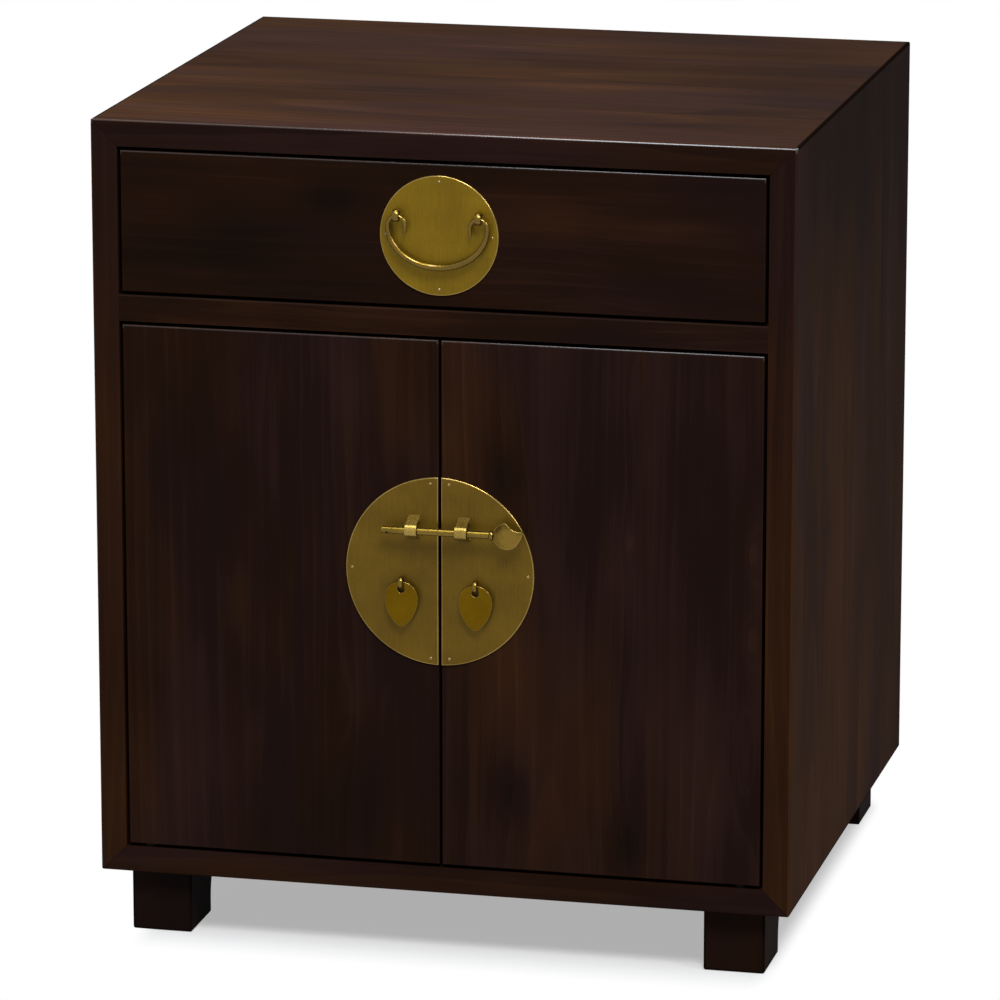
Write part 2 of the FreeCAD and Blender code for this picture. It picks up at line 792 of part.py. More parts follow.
def bush_bodies(side):
    """The outsides of a door's two bushes."""
    low = V(side * pivot_x, pivot_y, door_bottom)
    high = V(side * pivot_x, pivot_y, door_top)
    lower = Part.makeCylinder(pivot_bush_radius, pivot_bush_length, low)
    upper = Part.makeCylinder(pivot_bush_radius, pivot_bush_length, high, V(0, 0, -1))
    return [lower, upper]


def pivot_bushes(side):
    """The two bushes pressed into a door, which turn on the pins."""
    bore = pivot_pin_radius + pivot_running_clearance
    base = V(side * pivot_x, pivot_y, door_bottom)
    drill = Part.makeCylinder(bore, door_top - door_bottom, base)
    return Part.Compound([body.cut(drill) for body in bush_bodies(side)])


parts = {
    "top_board": flat_board(1),
    "bottom_board": flat_board(-1),
    "left_side": side_board(-1),
    "right_side": side_board(1),
    "mitre_splines": mitre_splines(),
    "back_panel": back_panel(),
    "back_panel_screws": panel_screws(),
    "mid_rail": mid_rail(),
    "drawer_runner_left": drawer_runner(-1),
    "drawer_runner_right": drawer_runner(1),
    "runner_screws": runner_screws(),
    "drawer_stops": drawer_stops(),
    "door_stop_strip": door_stop(),
    "shelf": shelf(),
    "shelf_pins": shelf_pins(),
    "foot_front_left": foot(-1, -1),
    "foot_front_right": foot(1, -1),
    "foot_rear_left": foot(-1, 1),
    "foot_rear_right": foot(1, 1),
    "foot_screws": foot_screws(),
    "door_pivot_pins": pivot_pins(),
    "door_pivot_washers": pivot_washers(),
    "drawer_front": drawer_front(),
    "drawer_side_left": drawer_side(-1),
    "drawer_side_right": drawer_side(1),
    "drawer_back": drawer_back(),
    "drawer_bottom": drawer_bottom(),
    "drawer_plate": drawer_plate(),
    "drawer_plate_nails": drawer_nails(),
    "bail_eye_left": bail_eye(-1),
    "bail_eye_right": bail_eye(1),
    "drawer_bail": drawer_bail(),
    "left_door": door(-1),
    "right_door": door(1),
    "left_door_bushes": pivot_bushes(-1),
    "right_door_bushes": pivot_bushes(1),
    "left_door_plate": door_plate(-1),
    "right_door_plate": door_plate(1),
    "left_plate_nails": door_nails(-1),
    "right_plate_nails": door_nails(1),
    "left_staple": staple(-1),
    "right_staple": staple(1),
    "slide_bolt": slide_bolt(),
    "left_pendant_eye": pendant_eye(-1),
    "right_pendant_eye": pendant_eye(1),
    "left_pendant": pendant(-1),
    "right_pendant": pendant(1),
}

for name, shape in parts.items():
    shape.exportStep(f"parts/{name}.step")

print(f"{len(parts)} parts, front face at y = {front_y:.2f}")
print(f"door pivots at x = {pivot_x:.2f}, y = {pivot_y:.2f}")
print("bail axis at z = {:.3f}, y = {:.3f}".format(*bail_axis()[:2]))
print("pendant axis at z = {:.3f}, y = {:.3f}".format(*pendant_axis()))
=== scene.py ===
# %% [markdown]
# # A low cabinet with a drawer and two doors
#
# The cabinet's solids come packed as a frame: every board, plate and pin is already in its place. This
# lesson dresses them. The boards keep their own meshes and get a stained finish, and the brass hardware,
# which the eye goes to first, is modelled again with softer edges. All lengths are in metres, X runs to the
# right, Y to the back, Z up.

import math

import bmesh
import bpy
from mathutils import Matrix, Vector


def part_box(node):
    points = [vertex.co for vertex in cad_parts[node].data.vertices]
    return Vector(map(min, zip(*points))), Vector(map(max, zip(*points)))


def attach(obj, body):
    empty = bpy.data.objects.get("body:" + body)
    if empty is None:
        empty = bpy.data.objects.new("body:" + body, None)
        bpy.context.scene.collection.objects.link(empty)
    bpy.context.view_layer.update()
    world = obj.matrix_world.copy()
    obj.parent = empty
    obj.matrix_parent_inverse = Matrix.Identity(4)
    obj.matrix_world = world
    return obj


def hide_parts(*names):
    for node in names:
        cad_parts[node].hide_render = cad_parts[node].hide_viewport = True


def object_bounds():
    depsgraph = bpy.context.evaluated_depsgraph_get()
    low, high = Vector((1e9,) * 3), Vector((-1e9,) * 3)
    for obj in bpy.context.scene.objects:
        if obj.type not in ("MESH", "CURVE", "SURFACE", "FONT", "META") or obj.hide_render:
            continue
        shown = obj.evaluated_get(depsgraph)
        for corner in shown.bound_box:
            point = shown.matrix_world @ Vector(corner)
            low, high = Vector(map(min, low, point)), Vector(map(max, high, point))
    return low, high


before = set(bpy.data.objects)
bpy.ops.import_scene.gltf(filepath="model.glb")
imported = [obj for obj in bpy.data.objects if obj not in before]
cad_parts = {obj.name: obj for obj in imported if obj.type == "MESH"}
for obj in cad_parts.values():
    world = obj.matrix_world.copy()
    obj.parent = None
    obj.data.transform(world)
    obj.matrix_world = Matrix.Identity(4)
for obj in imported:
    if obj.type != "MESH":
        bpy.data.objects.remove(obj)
cad_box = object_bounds()
mm = 0.001


# %% Put new things in the scene
def mesh_of(name, bm):
    """Turn a bmesh into a mesh and free it."""
    data = bpy.data.meshes.new(name)
    bm.to_mesh(data)
    bm.free()
    return data


def add_object(name, data):
    """A new object, linked to the scene."""
    made = bpy.data.objects.new(name, data)
    bpy.context.scene.collection.objects.link(made)
    return made


# %% [markdown]
# ## The camera
#
# The photograph was taken from a little to the right and a little above, from far away: its parallel edges
# hardly run together. A long lens at a distance gives that. The camera is aimed at a point on the cabinet's
# front, and turned round that point by two angles.

# %% Place the camera
front_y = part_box("drawer_front")[0].y
aim = Vector((47.96 * mm, front_y, 374.44 * mm))
turn_right, turn_up = math.radians(13.406), math.radians(13.748)
camera_distance = 4905.5 * mm
towards_camera = Vector((
    math.sin(turn_right) * math.cos(turn_up),
    -math.cos(turn_right) * math.cos(turn_up),
    math.sin(turn_up),
))

camera = add_object("camera", bpy.data.cameras.new("camera"))
camera.data.lens = 227.56
camera.data.sensor_width = 36
camera.data.clip_end = 100
camera.location = aim + towards_camera * camera_distance
camera.rotation_euler = (-towards_camera).to_track_quat("-Z", "Y").to_euler()
bpy.context.scene.camera = camera
bpy.context.scene.view_settings.view_transform = "Standard"
print("camera at", [round(value, 3) for value in camera.location])

# %% [markdown]
# ## Shader arithmetic
#
# A node tree is a formula. Written as one, it reads far better than as a list of links, so a small class
# wraps a node's output and turns + - * / ** into Math nodes. Every other node comes from one method, which
# takes the node's kind, its settings and what goes into its sockets. Colours are given as the eye reads
# them, in 0 to 255, and are made linear once, in Python.

# %% Wrap a socket so that sums add Math nodes
class Signal:
    """The output of a node. Arithmetic on it adds Math nodes to its tree."""

    def __init__(self, finish, socket):
        self.finish = finish
        self.socket = socket

    def __add__(self, other):
        return self.finish.math("ADD", self, other)

    def __sub__(self, other):
        return self.finish.math("SUBTRACT", self, other)

    def __mul__(self, other):
        return self.finish.math("MULTIPLY", self, other)

    def __truediv__(self, other):
        return self.finish.math("DIVIDE", self, other)

    def __pow__(self, other):
        return self.finish.math("POWER", self, other)

    def __rsub__(self, other):
        return self.finish.math("SUBTRACT", other, self)

    def __rtruediv__(self, other):
        return self.finish.math("DIVIDE", other, self)

    __radd__ = __add__
    __rmul__ = __mul__

    def swing(self, reach):
        """Turn a value from 0 to 1 into one that swings about zero."""
        return (self - 0.5) * reach


# %% Build a finish from nodes
class Finish:
    """A material and the node tree that makes it."""

    def __init__(self, name, **constants):
        self.material = bpy.data.materials.new(name)
        self.material.use_nodes = True
        self.tree = self.material.node_tree
        self.shader = self.tree.nodes["Principled BSDF"]
        self.feed(self.shader, {key.replace("_", " "): value for key, value in constants.items()})

    def feed(self, node, inputs):
        """Give a node's sockets their values or links."""
        for key, value in inputs.items():
            if isinstance(value, Signal):
                self.tree.links.new(value.socket, node.inputs[key])
            else:
                node.inputs[key].default_value = value

    def node(self, kind, settings=None, inputs=None, output=0):
        """Add one node: settings first, then sockets. Returns the output asked for."""
        node = self.tree.nodes.new("ShaderNode" + kind)
        for key, value in (settings or {}).items():
            if key == "stops":
                elements = node.color_ramp.elements
                while len(elements) < len(value):
                    elements.new(1)
                for element, (place, colour) in zip(elements, value):
                    element.position = place
                    element.color = colour
            else:
                setattr(node, key, value)
        self.feed(node, inputs or {})
        return Signal(self, node.outputs[output])

    def math(self, operation, *values):
        return self.node("Math", {"operation": operation}, dict(enumerate(values)))

    def place(self):
        """The three object coordinates, in metres."""
        whole = self.node("TexCoord", output="Object")
        return [self.node("SeparateXYZ", None, {0: whole}, output=axis) for axis in range(3)]

    def point(self, x, y, z):
        return self.node("CombineXYZ", None, {0: x, 1: y, 2: z})

    def noise(self, point, scale=1.0, detail=2.0, roughness=0.5):
        inputs = {"Vector": point, "Scale": scale, "Detail": detail, "Roughness": roughness}
        return self.node("TexNoise", None, inputs)

    def chance(self, number):
        """A random value from 0 to 1 for each whole number."""
        return self.node("TexWhiteNoise", {"noise_dimensions": "1D"}, {"W": number})

    def rise(self, value, low, high):
        """0 below low, 1 above high and a smooth step between."""
        inputs = {"Value": value, "From Min": low, "From Max": high}
        return self.node("MapRange", {"interpolation_type": "SMOOTHSTEP"}, inputs)

    def ramp(self, value, stops):
        return self.node("ValToRGB", {"stops": stops}, {0: value})

    def mix(self, share, first, second):
        """A blend of two colours: the node takes them in sockets 6 and 7 and gives one in output 2."""
        return self.node("Mix", {"data_type": "RGBA"}, {0: share, 6: first, 7: second}, output=2)

    def bump(self, height, distance):
        return self.node("Bump", None, {"Distance": distance, "Height": height})


def paint(red, green, blue):
    """A colour as the eye reads it, 0 to 255, made linear for a shader."""
    shares = [value / 255 for value in (red, green, blue)]
    return tuple(s / 12.92 if s <= 0.04045 else ((s + 0.055) / 1.055) ** 2.4 for s in shares) + (1.0,)


def ramp_stops(*rows):
    """The stops of a colour ramp, from rows of (place, red, green, blue)."""
    return [(place, paint(*colour)) for place, *colour in rows]


# %% [markdown]
# ## Floor, background and lamps
#
# The cabinet stands in a plain pale room. The floor is a pale, matt sheet. Where a camera, mirror or glass
# ray meets it, part of it glows plain white: less under the cabinet, where its soft shadow stays, and all of
# it a little way off. The shadow ends sooner past the sides than in front and behind. The world is white for
# those same rays and a dimmer grey for the light that it gives.

# %% Lay the floor
def seen_directly(finish):
    """1 for camera, glossy and transmission rays, 0 for the others."""
    kinds = ("Camera", "Glossy", "Transmission")
    rays = [finish.node("LightPath", output=f"Is {kind} Ray") for kind in kinds]
    return finish.math("MAXIMUM", finish.math("MAXIMUM", rays[0], rays[1]), rays[2])


floor_half = 8.0
floor_glow, shade_width = 0.42, 0.13
left_inset, right_inset, end_inset = 0.045, 0.032, 0.03
side_haste, end_haste = 6.0, 2.5
floor_mesh = bmesh.new()
bmesh.ops.create_grid(floor_mesh, x_segments=1, y_segments=1, size=floor_half)
floor_data = mesh_of("floor", floor_mesh)
floor = add_object("floor", floor_data)

pale_floor = Finish("pale_floor", Base_Color=paint(198, 198, 198), Roughness=0.9, Specular_IOR_Level=0.0)
x, y = pale_floor.place()[:2]
past_left = (cad_box[0].x + left_inset) - x
past_right = x - (cad_box[1].x - right_inset)
past_side = pale_floor.math("MAXIMUM", past_left, past_right)
aside = pale_floor.math("MAXIMUM", past_side, 0.0) * side_haste
past_end = pale_floor.math("MAXIMUM", (cad_box[0].y + end_inset) - y, y - (cad_box[1].y - end_inset))
ahead = pale_floor.math("MAXIMUM", past_end, 0.0) * end_haste
distance = pale_floor.math("SQRT", aside * aside + ahead * ahead)
away = pale_floor.rise(distance, 0.0, shade_width)
glow = pale_floor.node("Emission", None, {"Color": (1, 1, 1, 1), "Strength": 1.0})
surface = Signal(pale_floor, pale_floor.shader.outputs[0])
glow_share = seen_directly(pale_floor) * (floor_glow + away * (1 - floor_glow))
floor_mix = pale_floor.node("MixShader", None, {0: glow_share, 1: surface, 2: glow})
pale_floor.feed(pale_floor.tree.nodes["Material Output"], {"Surface": floor_mix})
floor_data.materials.append(pale_floor.material)

# %% Light the room
world_light = 0.18
world = bpy.data.worlds.new("room")
bpy.context.scene.world = world
world.use_nodes = True


class Room(Finish):
    """The world's node tree, built with the same tools as a finish."""

    def __init__(self, world):
        self.tree = world.node_tree
        self.shader = self.tree.nodes["Background"]


room = Room(world)
world_strength = world_light + seen_directly(room) * (1 - world_light)
room.feed(room.shader, {"Color": (1, 1, 1, 1), "Strength": world_strength})
middle = (cad_box[0] + cad_box[1]) / 2


def lamp(name, place, target, width, length, share, tint=(1, 1, 1)):
    """A soft lamp, as strong as its share of the light that makes a white sheet white at the cabinet."""
    light = bpy.data.lights.new(name, "AREA")
    light.shape = "RECTANGLE"
    light.size, light.size_y = width, length
    light.energy = share * (math.pi * (place - middle).length) ** 2
    light.color = tint
    holder = add_object(name, light)
    holder.location = place
    holder.rotation_euler = (target - place).to_track_quat("-Z", "Y").to_euler()


front_place = middle + Vector((0.36, -1.0, 1.32)).normalized() * 5.0
strip_place = Vector((-0.37, -0.7, 3.1))
below_strip = strip_place - Vector((0, 0, 1))
side_place = middle + Vector((0.75, -0.35, 0.56)).normalized() * 4.0
lamp("front_lamp", front_place, middle, width=1.3, length=1.3, share=0.86)
lamp("strip_lamp", strip_place, below_strip, width=0.4, length=3.0, share=0.75, tint=(0.84, 0.92, 1.0))
lamp("side_lamp", side_place, middle, width=1.0, length=1.0, share=0.36)

# %% [markdown]
# ## Stained wood
#
# Grain is the cut through a tree's rings, so it is made as one: rings round a pith that lies behind the
# board's face and wanders along its length. Where the face cuts the rings at a shallow angle they open into
# long flames, and at the edges they close up into straight lines, as on the real boards. Each panel is glued
# up from a few boards, and each board has a pith and a tone of its own. Dark stain hides most of it: soft
# blotches, fine streaks and a few warm lines are left. The pattern follows Object coordinates, so it runs on
# round the edges of each board.

# %% Grain of a glued-up panel
ring_spacing, ring_wander = 7.5 * mm, 0.9
pith_depth, pith_sway, pith_offset = 42 * mm, 1.6, 0.8
slant = 30 * mm
seam_edge, mitre_edge = (0.1 * mm, 0.6 * mm), (0.1 * mm, 0.55 * mm)
# The axes along the grain, across the board and into it.
axis_orders = {"X": (0, 2, 1), "Y": (1, 0, 2), "Z": (2, 0, 1), "flat X": (0, 1, 2), "deep Z": (2, 1, 0)}


class Wood(Finish):
    """A wooden finish whose grain runs along one axis of the piece."""

    def grain(self, box, along, joints=(), seed=0.0, marks=()):
        """Set up the coordinates, the boards, the rings and the stain's own patches.

        Joints are shares of the width. A mark is (along, across, length, breadth, hump, tone): a knot, a
        flame or a patch, which lifts the rings by its hump and changes the tone.
        """
        order = axis_orders[along]
        low, high = box
        self.x, self.y, self.z = self.place()
        u, v, w = ((self.x, self.y, self.z)[axis] for axis in order)
        start, width = low[order[1]], high[order[1]] - low[order[1]]
        joint_places = [start + width * share for share in joints]
        sides = [start] + joint_places + [start + width]
        number, self.seam, centre = 0.0, 0.0, (sides[0] + sides[1]) / 2
        for before, here, after in zip(sides, joint_places, sides[2:]):
            past = self.math("GREATER_THAN", v, here)
            number = number + past
            centre = centre + past * ((after - before) / 2)
            from_joint = self.math("ABSOLUTE", v - here)
            self.seam = self.seam + (1.0 - self.rise(from_joint, *seam_edge))
        board_shift = self.chance(number + seed)
        self.board_tone = self.chance(number + (seed + 0.37))
        u_far = u + board_shift * 3.0 + seed
        sway = self.noise(self.point(u_far * 1.6, self.board_tone * 9.0, seed), detail=1.0)
        across = v - centre + board_shift.swing(width / len(sides) * pith_offset)
        depth = (w - low[order[2]]) + pith_depth * (0.5 + self.board_tone)
        depth = depth + sway.swing(pith_depth * pith_sway)
        self.mark_tone = 0.0
        for mark_u, mark_v, length, breadth, hump, tone in marks:
            near = 1.0 / (1.0 + ((u - mark_u) / length) ** 2.0 + ((v - mark_v) / breadth) ** 2.0)
            depth = depth + near * hump
            self.mark_tone = self.mark_tone + near * near * tone
        wander = self.stretched((u_far, v, w), 5.0, 22.0)
        reach = self.math("SQRT", across * across + depth * depth) + wander.swing(ring_wander * ring_spacing)
        rings = reach / ring_spacing
        self.ring_tone = self.chance(self.math("FLOOR", rings) + seed)
        part = self.math("FRACT", rings)
        self.late_wood = part ** 3.0 * (1.0 - self.rise(part, 0.86, 1.0))
        bend = self.stretched((u_far, v, w), 1.7, 5.0)
        v = v + bend.swing(slant)
        self.streaks = self.stretched((u_far, v, w), 2.6, 90.0, detail=3.0, roughness=0.6)
        self.lines = self.stretched((u_far, v, w), 9.0, 520.0)
        self.fibres = self.stretched((u_far, v, w), 28.0, 1300.0, detail=1.0)
        self.blotches = self.stretched((u_far, v, w), 4.5, 15.0, roughness=0.55)
        self.hue = self.noise(self.point(u_far * 3.0 + 7.0, v * 11.0, w * 11.0))

    def stretched(self, point, along, across, **texture):
        """Noise drawn out along the grain, by its scale along the grain and across it."""
        u, v, w = point
        return self.noise(self.point(u * along, v * across, w * across), **texture)

    def faces_away(self, box):
        """How far each coordinate is from the nearer of its two faces of a box."""
        low, high = box
        values = (self.x, self.y, self.z)
        both = [(value - low[axis], high[axis] - value) for axis, value in enumerate(values)]
        return [self.math("MINIMUM", *pair) for pair in both]

    def rim(self, box, width):
        """1 on the edges of a box and 0 on its faces: the middle one of the three distances to the faces."""
        far = self.faces_away(box)
        less = self.math("MINIMUM", far[0], far[1])
        more = self.math("MAXIMUM", far[0], far[1])
        middle = self.math("MAXIMUM", less, self.math("MINIMUM", more, far[2]))
        return 1.0 - self.rise(middle, width * 0.3, width)

    def mitre(self, box):
        """1 where a mitre's thin line shows, half way between an end and a top or bottom face."""
        far = self.faces_away(box)
        return 1.0 - self.rise(self.math("ABSOLUTE", far[0] - far[2]), *mitre_edge)


# %% The dark stain
brown_stain = ramp_stops(
    (0.0, 17, 9, 5), (0.3, 28, 14, 7), (0.5, 40, 22, 11), (0.7, 55, 32, 15), (1.0, 86, 54, 26)
)
plum_stain = ramp_stops(
    (0.0, 16, 9, 8), (0.3, 25, 13, 11), (0.5, 35, 20, 16), (0.7, 49, 29, 22), (1.0, 78, 49, 36)
)
# The second width is that of the painted shade: a dark line along the edges away from the front.
edge_width, painted_shade_width = 1.6 * mm, 2.5 * mm
front_start, front_end = 3 * mm, 6 * mm
wear_start, wear_end = 4 * mm, 2 * mm
# The first pair is how far in from an outer face its painted light reaches.
painted_light_edge, pale_edge, plum_edge = (0.4 * mm, 1.6 * mm), (0.6, 0.8), (0.38, 0.62)
stained_relief, bare_relief = 0.1 * mm, 0.2 * mm
# How far each part of the grain moves the tone, where the stain's whole ramp is 1.
blotch_weight, board_weight, streak_weight, pale_weight = 0.84, 0.12, 0.17, 0.07
line_weight, ring_weight, late_weight = 0.16, 0.06, 0.1
seam_weight, rim_weight, mitre_weight = 0.07, 0.06, 0.3


def stained(
    node, along, mitred=None, painted_light_face=None, tone=0.36,
    contrast=0.85, rubbed=0.9, gloss=0.03, warmth=0.0, **grain,
):
    """Dark stained and lacquered wood for one board or panel.

    Mitred is the box of the whole carcass. The next gives the axis of an outer face and the tone of its
    painted light.
    """
    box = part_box(node)
    wood = Wood(node + "_finish", Specular_IOR_Level=0.0, Coat_Roughness=0.17, Coat_IOR=1.5)
    wood.grain(box, along, **grain)
    rim = wood.rim(mitred or box, edge_width)
    at_front = 1.0 - wood.rise(wood.y, front_y + front_start, front_y + front_end)
    worn = rim * at_front * wood.rise(wood.z, box[1].z - wear_start, box[1].z - wear_end)
    depth = tone + wood.mark_tone + wood.blotches.swing(blotch_weight * contrast)
    depth = depth + wood.board_tone.swing(board_weight)
    pale = wood.rise(wood.streaks, *pale_edge)
    depth = depth + (wood.streaks.swing(streak_weight) + pale * pale_weight) * contrast
    depth = depth + wood.lines.swing(line_weight) + wood.ring_tone.swing(ring_weight)
    depth = depth + wood.late_wood * late_weight
    depth = depth - wood.seam * seam_weight + rim * at_front * rim_weight
    # Painted shade: a dark line along every edge away from the front, with no gloss on it.
    painted_shade = wood.rim(mitred or box, painted_shade_width) * (1.0 - at_front)
    depth = depth - painted_shade
    if mitred:
        depth = depth - wood.mitre(mitred) * mitre_weight
    # Painted light and sheen: an outer face of the carcass is painted paler than the rest of the board.
    if painted_light_face:
        axis, paler = painted_light_face
        outer_face = 1.0 - wood.rise(wood.faces_away(mitred)[axis], *painted_light_edge)
        depth = depth + outer_face * paler
    plum = wood.rise(wood.hue - warmth, *plum_edge)
    relief = wood.lines * 0.5 + wood.fibres * 0.3 + wood.late_wood * 0.3
    wood.feed(wood.shader, {
        "Base Color": wood.mix(plum, wood.ramp(depth, brown_stain), wood.ramp(depth, plum_stain)),
        "Roughness": 0.46 + wood.streaks.swing(0.2),
        "Coat Weight": (1.0 - painted_shade) * gloss + worn * (rubbed - gloss),
        "Normal": wood.bump(relief * (1.0 - worn), stained_relief),
    })
    return wood.material


# %% Lighter wood inside
def plain_wood(node, along, colours, **grain):
    """Bare wood, only oiled, for the drawer box, the runners and the back."""
    wood = Wood(node + "_finish", Specular_IOR_Level=0.25)
    wood.grain(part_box(node), along, **grain)
    tone = 0.5 + wood.blotches.swing(0.8) + wood.streaks.swing(0.6) + wood.board_tone.swing(0.25)
    tone = tone - wood.late_wood * (0.25 + wood.ring_tone * 0.3)
    wood.feed(wood.shader, {
        "Base Color": wood.ramp(tone, colours),
        "Roughness": 0.62 + wood.streaks.swing(0.2),
        "Normal": wood.bump(wood.streaks * 0.5 + wood.fibres * 0.5, bare_relief),
    })
    return wood.material


# %% [markdown]
# ## Dressing the boards
#
# A board's solid has the right shape already, with its mitres, tenons and eased edges, so it stays, and only
# its material is new. What differs from board to board is the way its grain runs, how many boards it is
# glued from and where its knots lie. On a mitred carcass the grain runs round: along the top and the bottom,
# up the sides.

# %% Give each board its grain
def dress(node, material):
    """Put a material on a node of the frame."""
    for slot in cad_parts[node].material_slots:
        slot.material = material


carcass_box = (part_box("bottom_board")[0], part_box("top_board")[1])


def on_front(node, upright, marks):
    """Marks placed on a panel by shares of its width and height, in the order that its grain runs."""
    low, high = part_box(node)
    placed = []
    for across_share, up_share, shape in marks:
        across, up = low.x + (high.x - low.x) * across_share, low.z + (high.z - low.z) * up_share
        placed.append(((up, across) if upright else (across, up)) + shape)
    return placed


flame = (46 * mm, 8 * mm, 15 * mm, 0.1)
knot = (13 * mm, 5 * mm, 16 * mm, 0.15)
dark_patch = (30 * mm, 18 * mm, 0.0, -0.3)
wide_dark_patch = (90 * mm, 32 * mm, 0.0, -0.2)
warm_streak = (80 * mm, 5 * mm, 0.0, 0.12)
warm_patch = (60 * mm, 14 * mm, 0.0, 0.13)
left_marks = on_front("left_door", True, [
    (0.71, 0.29, flame), (0.75, 0.14, wide_dark_patch), (0.2, 0.8, wide_dark_patch),
    (0.39, 0.2, warm_patch), (0.48, 0.77, warm_streak), (0.72, 0.8, warm_streak), (0.38, 0.5, warm_patch),
])
right_marks = on_front("right_door", True, [
    (0.59, 0.64, knot), (0.6, 0.91, flame), (0.59, 0.22, flame), (0.22, 0.15, dark_patch),
    (0.59, 0.06, dark_patch), (0.1, 0.2, warm_streak), (0.29, 0.14, warm_streak), (0.97, 0.63, knot),
    (0.97, 0.47, knot), (0.2, 0.75, dark_patch), (0.82, 0.35, warm_patch), (0.95, 0.24, flame),
])
drawer_marks = on_front("drawer_front", False, [
    (0.07, 0.68, warm_patch), (0.22, 0.5, wide_dark_patch), (0.33, 0.72, dark_patch), (0.7, 0.73, warm_patch),
    (0.84, 0.62, warm_patch), (0.72, 0.06, flame), (0.12, 0.14, warm_patch),
])
# Painted shade: the top is painted darker towards its right end.
painted_top_shade = [(240 * mm, 0.0, 150 * mm, 400 * mm, 0.0, -0.12)]
# Painted light and shade: the right side is painted darker near its top and paler near its bottom.
painted_side_shading = [(640 * mm, 0.0, 150 * mm, 400 * mm, 0.0, -0.36), (100 * mm, 0.0, 200 * mm, 400 * mm, 0.0, 0.07)]
on_carcass = dict(mitred=carcass_box, joints=(0.25, 0.5, 0.75), contrast=0.55)
on_side = dict(along="deep Z", gloss=0.022, **on_carcass)
# The top's upper face and the sides' outer faces are painted paler, as painted light and sheen.
board_finishes = {
    "top_board": dict(
        along="flat X", seed=2.3, tone=0.28, rubbed=1.0, painted_light_face=(2, 0.33), marks=painted_top_shade, **on_carcass
    ),
    "bottom_board": dict(along="flat X", seed=7.1, tone=0.37, **on_carcass),
    "left_side": dict(seed=11.6, tone=0.46, painted_light_face=(0, 0.12), warmth=0.04, **on_side),
    "right_side": dict(seed=15.2, tone=0.4, painted_light_face=(0, 0.14), warmth=0.08, marks=painted_side_shading, **on_side),
    "mid_rail": dict(along="flat X", seed=21.4, tone=0.19, warmth=0.04, contrast=1.1, rubbed=0.2),
    "drawer_front": dict(along="X", seed=25.9, tone=0.22, warmth=0.1, marks=drawer_marks),
    "left_door": dict(along="Z", joints=(0.54,), seed=31.3, tone=0.3, marks=left_marks),
    "right_door": dict(along="Z", joints=(0.64,), seed=37.7, tone=0.34, marks=right_marks),
    "shelf": dict(along="flat X", joints=(0.33, 0.67), seed=41.2),
    "door_stop_strip": dict(along="X", seed=43.9),
}
for node, settings in board_finishes.items():
    dress(node, stained(node, **settings))
feet = [f"foot_{end}_{side}" for end in ("front", "rear") for side in ("left", "right")]
for number, node in enumerate(feet):
    dress(node, stained(node, "Z", tone=0.12, seed=51.5 + number))
print(f"{len(board_finishes) + len(feet)} stained boards")

# %% Give the inner parts their lighter wood
bare_colours = ramp_stops((0.0, 104, 72, 44), (0.5, 146, 108, 70), (1.0, 176, 138, 95))
panel_colours = ramp_stops((0.0, 88, 60, 40), (0.5, 112, 80, 54), (1.0, 138, 102, 70))
bare_boards = {
    "drawer_side_left": ("Y", 61.2), "drawer_side_right": ("Y", 63.4), "drawer_back": ("X", 65.1),
    "drawer_runner_left": ("Y", 67.8), "drawer_runner_right": ("Y", 69.3), "drawer_stops": ("X", 71.9),
    "mitre_splines": ("Y", 73.3),
}
bare_panels = {"drawer_bottom": ("flat X", 75.6), "back_panel": ("Z", 77.2)}
for nodes, colours, joints in ((bare_boards, bare_colours, ()), (bare_panels, panel_colours, (0.33, 0.67))):
    for node, (along, seed) in nodes.items():
        dress(node, plain_wood(node, along, colours, joints=joints, seed=seed))
print(f"{len(bare_boards) + len(bare_panels)} inner parts")

# %% [markdown]
# ## Aged brass
#
# The plates are cut from rolled sheet: flat, olive gold, faintly brushed and mottled by age. Their edges are
# rubbed brighter. Brass is a metal, so its colour is the colour of its reflection, and what ages it is
# mostly a change of that colour and of its roughness. Where tarnish covers it, it also reflects less like a
# metal.

# %% The brass finish
cloud_scale, speckle_scale = 38.0, 900.0
brush_fine, brush_deep, brush_coarse = 1100.0, 900.0, 45.0


class Metal(Finish):
    """Aged metal: a tarnish that varies, with finer speckle and brush marks along x or z."""

    def age(self, along="z"):
        x, y, z = self.place()
        self.cloud = self.noise(self.point(x, y, z), scale=cloud_scale, detail=3.0, roughness=0.55)
        self.speckle = self.noise(self.point(x, y, z), scale=speckle_scale, roughness=0.7)
        scale_x, scale_z = (brush_fine, brush_coarse) if along == "z" else (brush_coarse, brush_fine)
        marks = self.point(x * scale_x, y * brush_deep, z * scale_z)
        self.brushed = self.noise(marks, detail=1.0)


def brass(name, dark, light, roughness, brush=0.5, along="z", clouds=0.8, metallic=1.0, lacquer=0.0):
    """A brass finish between two colours. Tarnish is dull: the duller the piece, the less metallic it is."""
    metal = Metal(name, Metallic=metallic, Specular_IOR_Level=0.2, Coat_Weight=lacquer, Coat_Roughness=0.14)
    metal.age(along)
    tone = 0.5 + metal.cloud.swing(clouds) + metal.speckle.swing(0.8) + metal.brushed.swing(brush)
    metal.feed(metal.shader, {
        "Base Color": metal.ramp(tone, ramp_stops((0.15, *dark), (0.85, *light))),
        "Roughness": roughness + metal.cloud.swing(0.12) + metal.speckle.swing(0.12),
        "Normal": metal.bump(metal.speckle * 0.4 + metal.brushed * brush, 0.03 * mm),
    })
    return metal.material


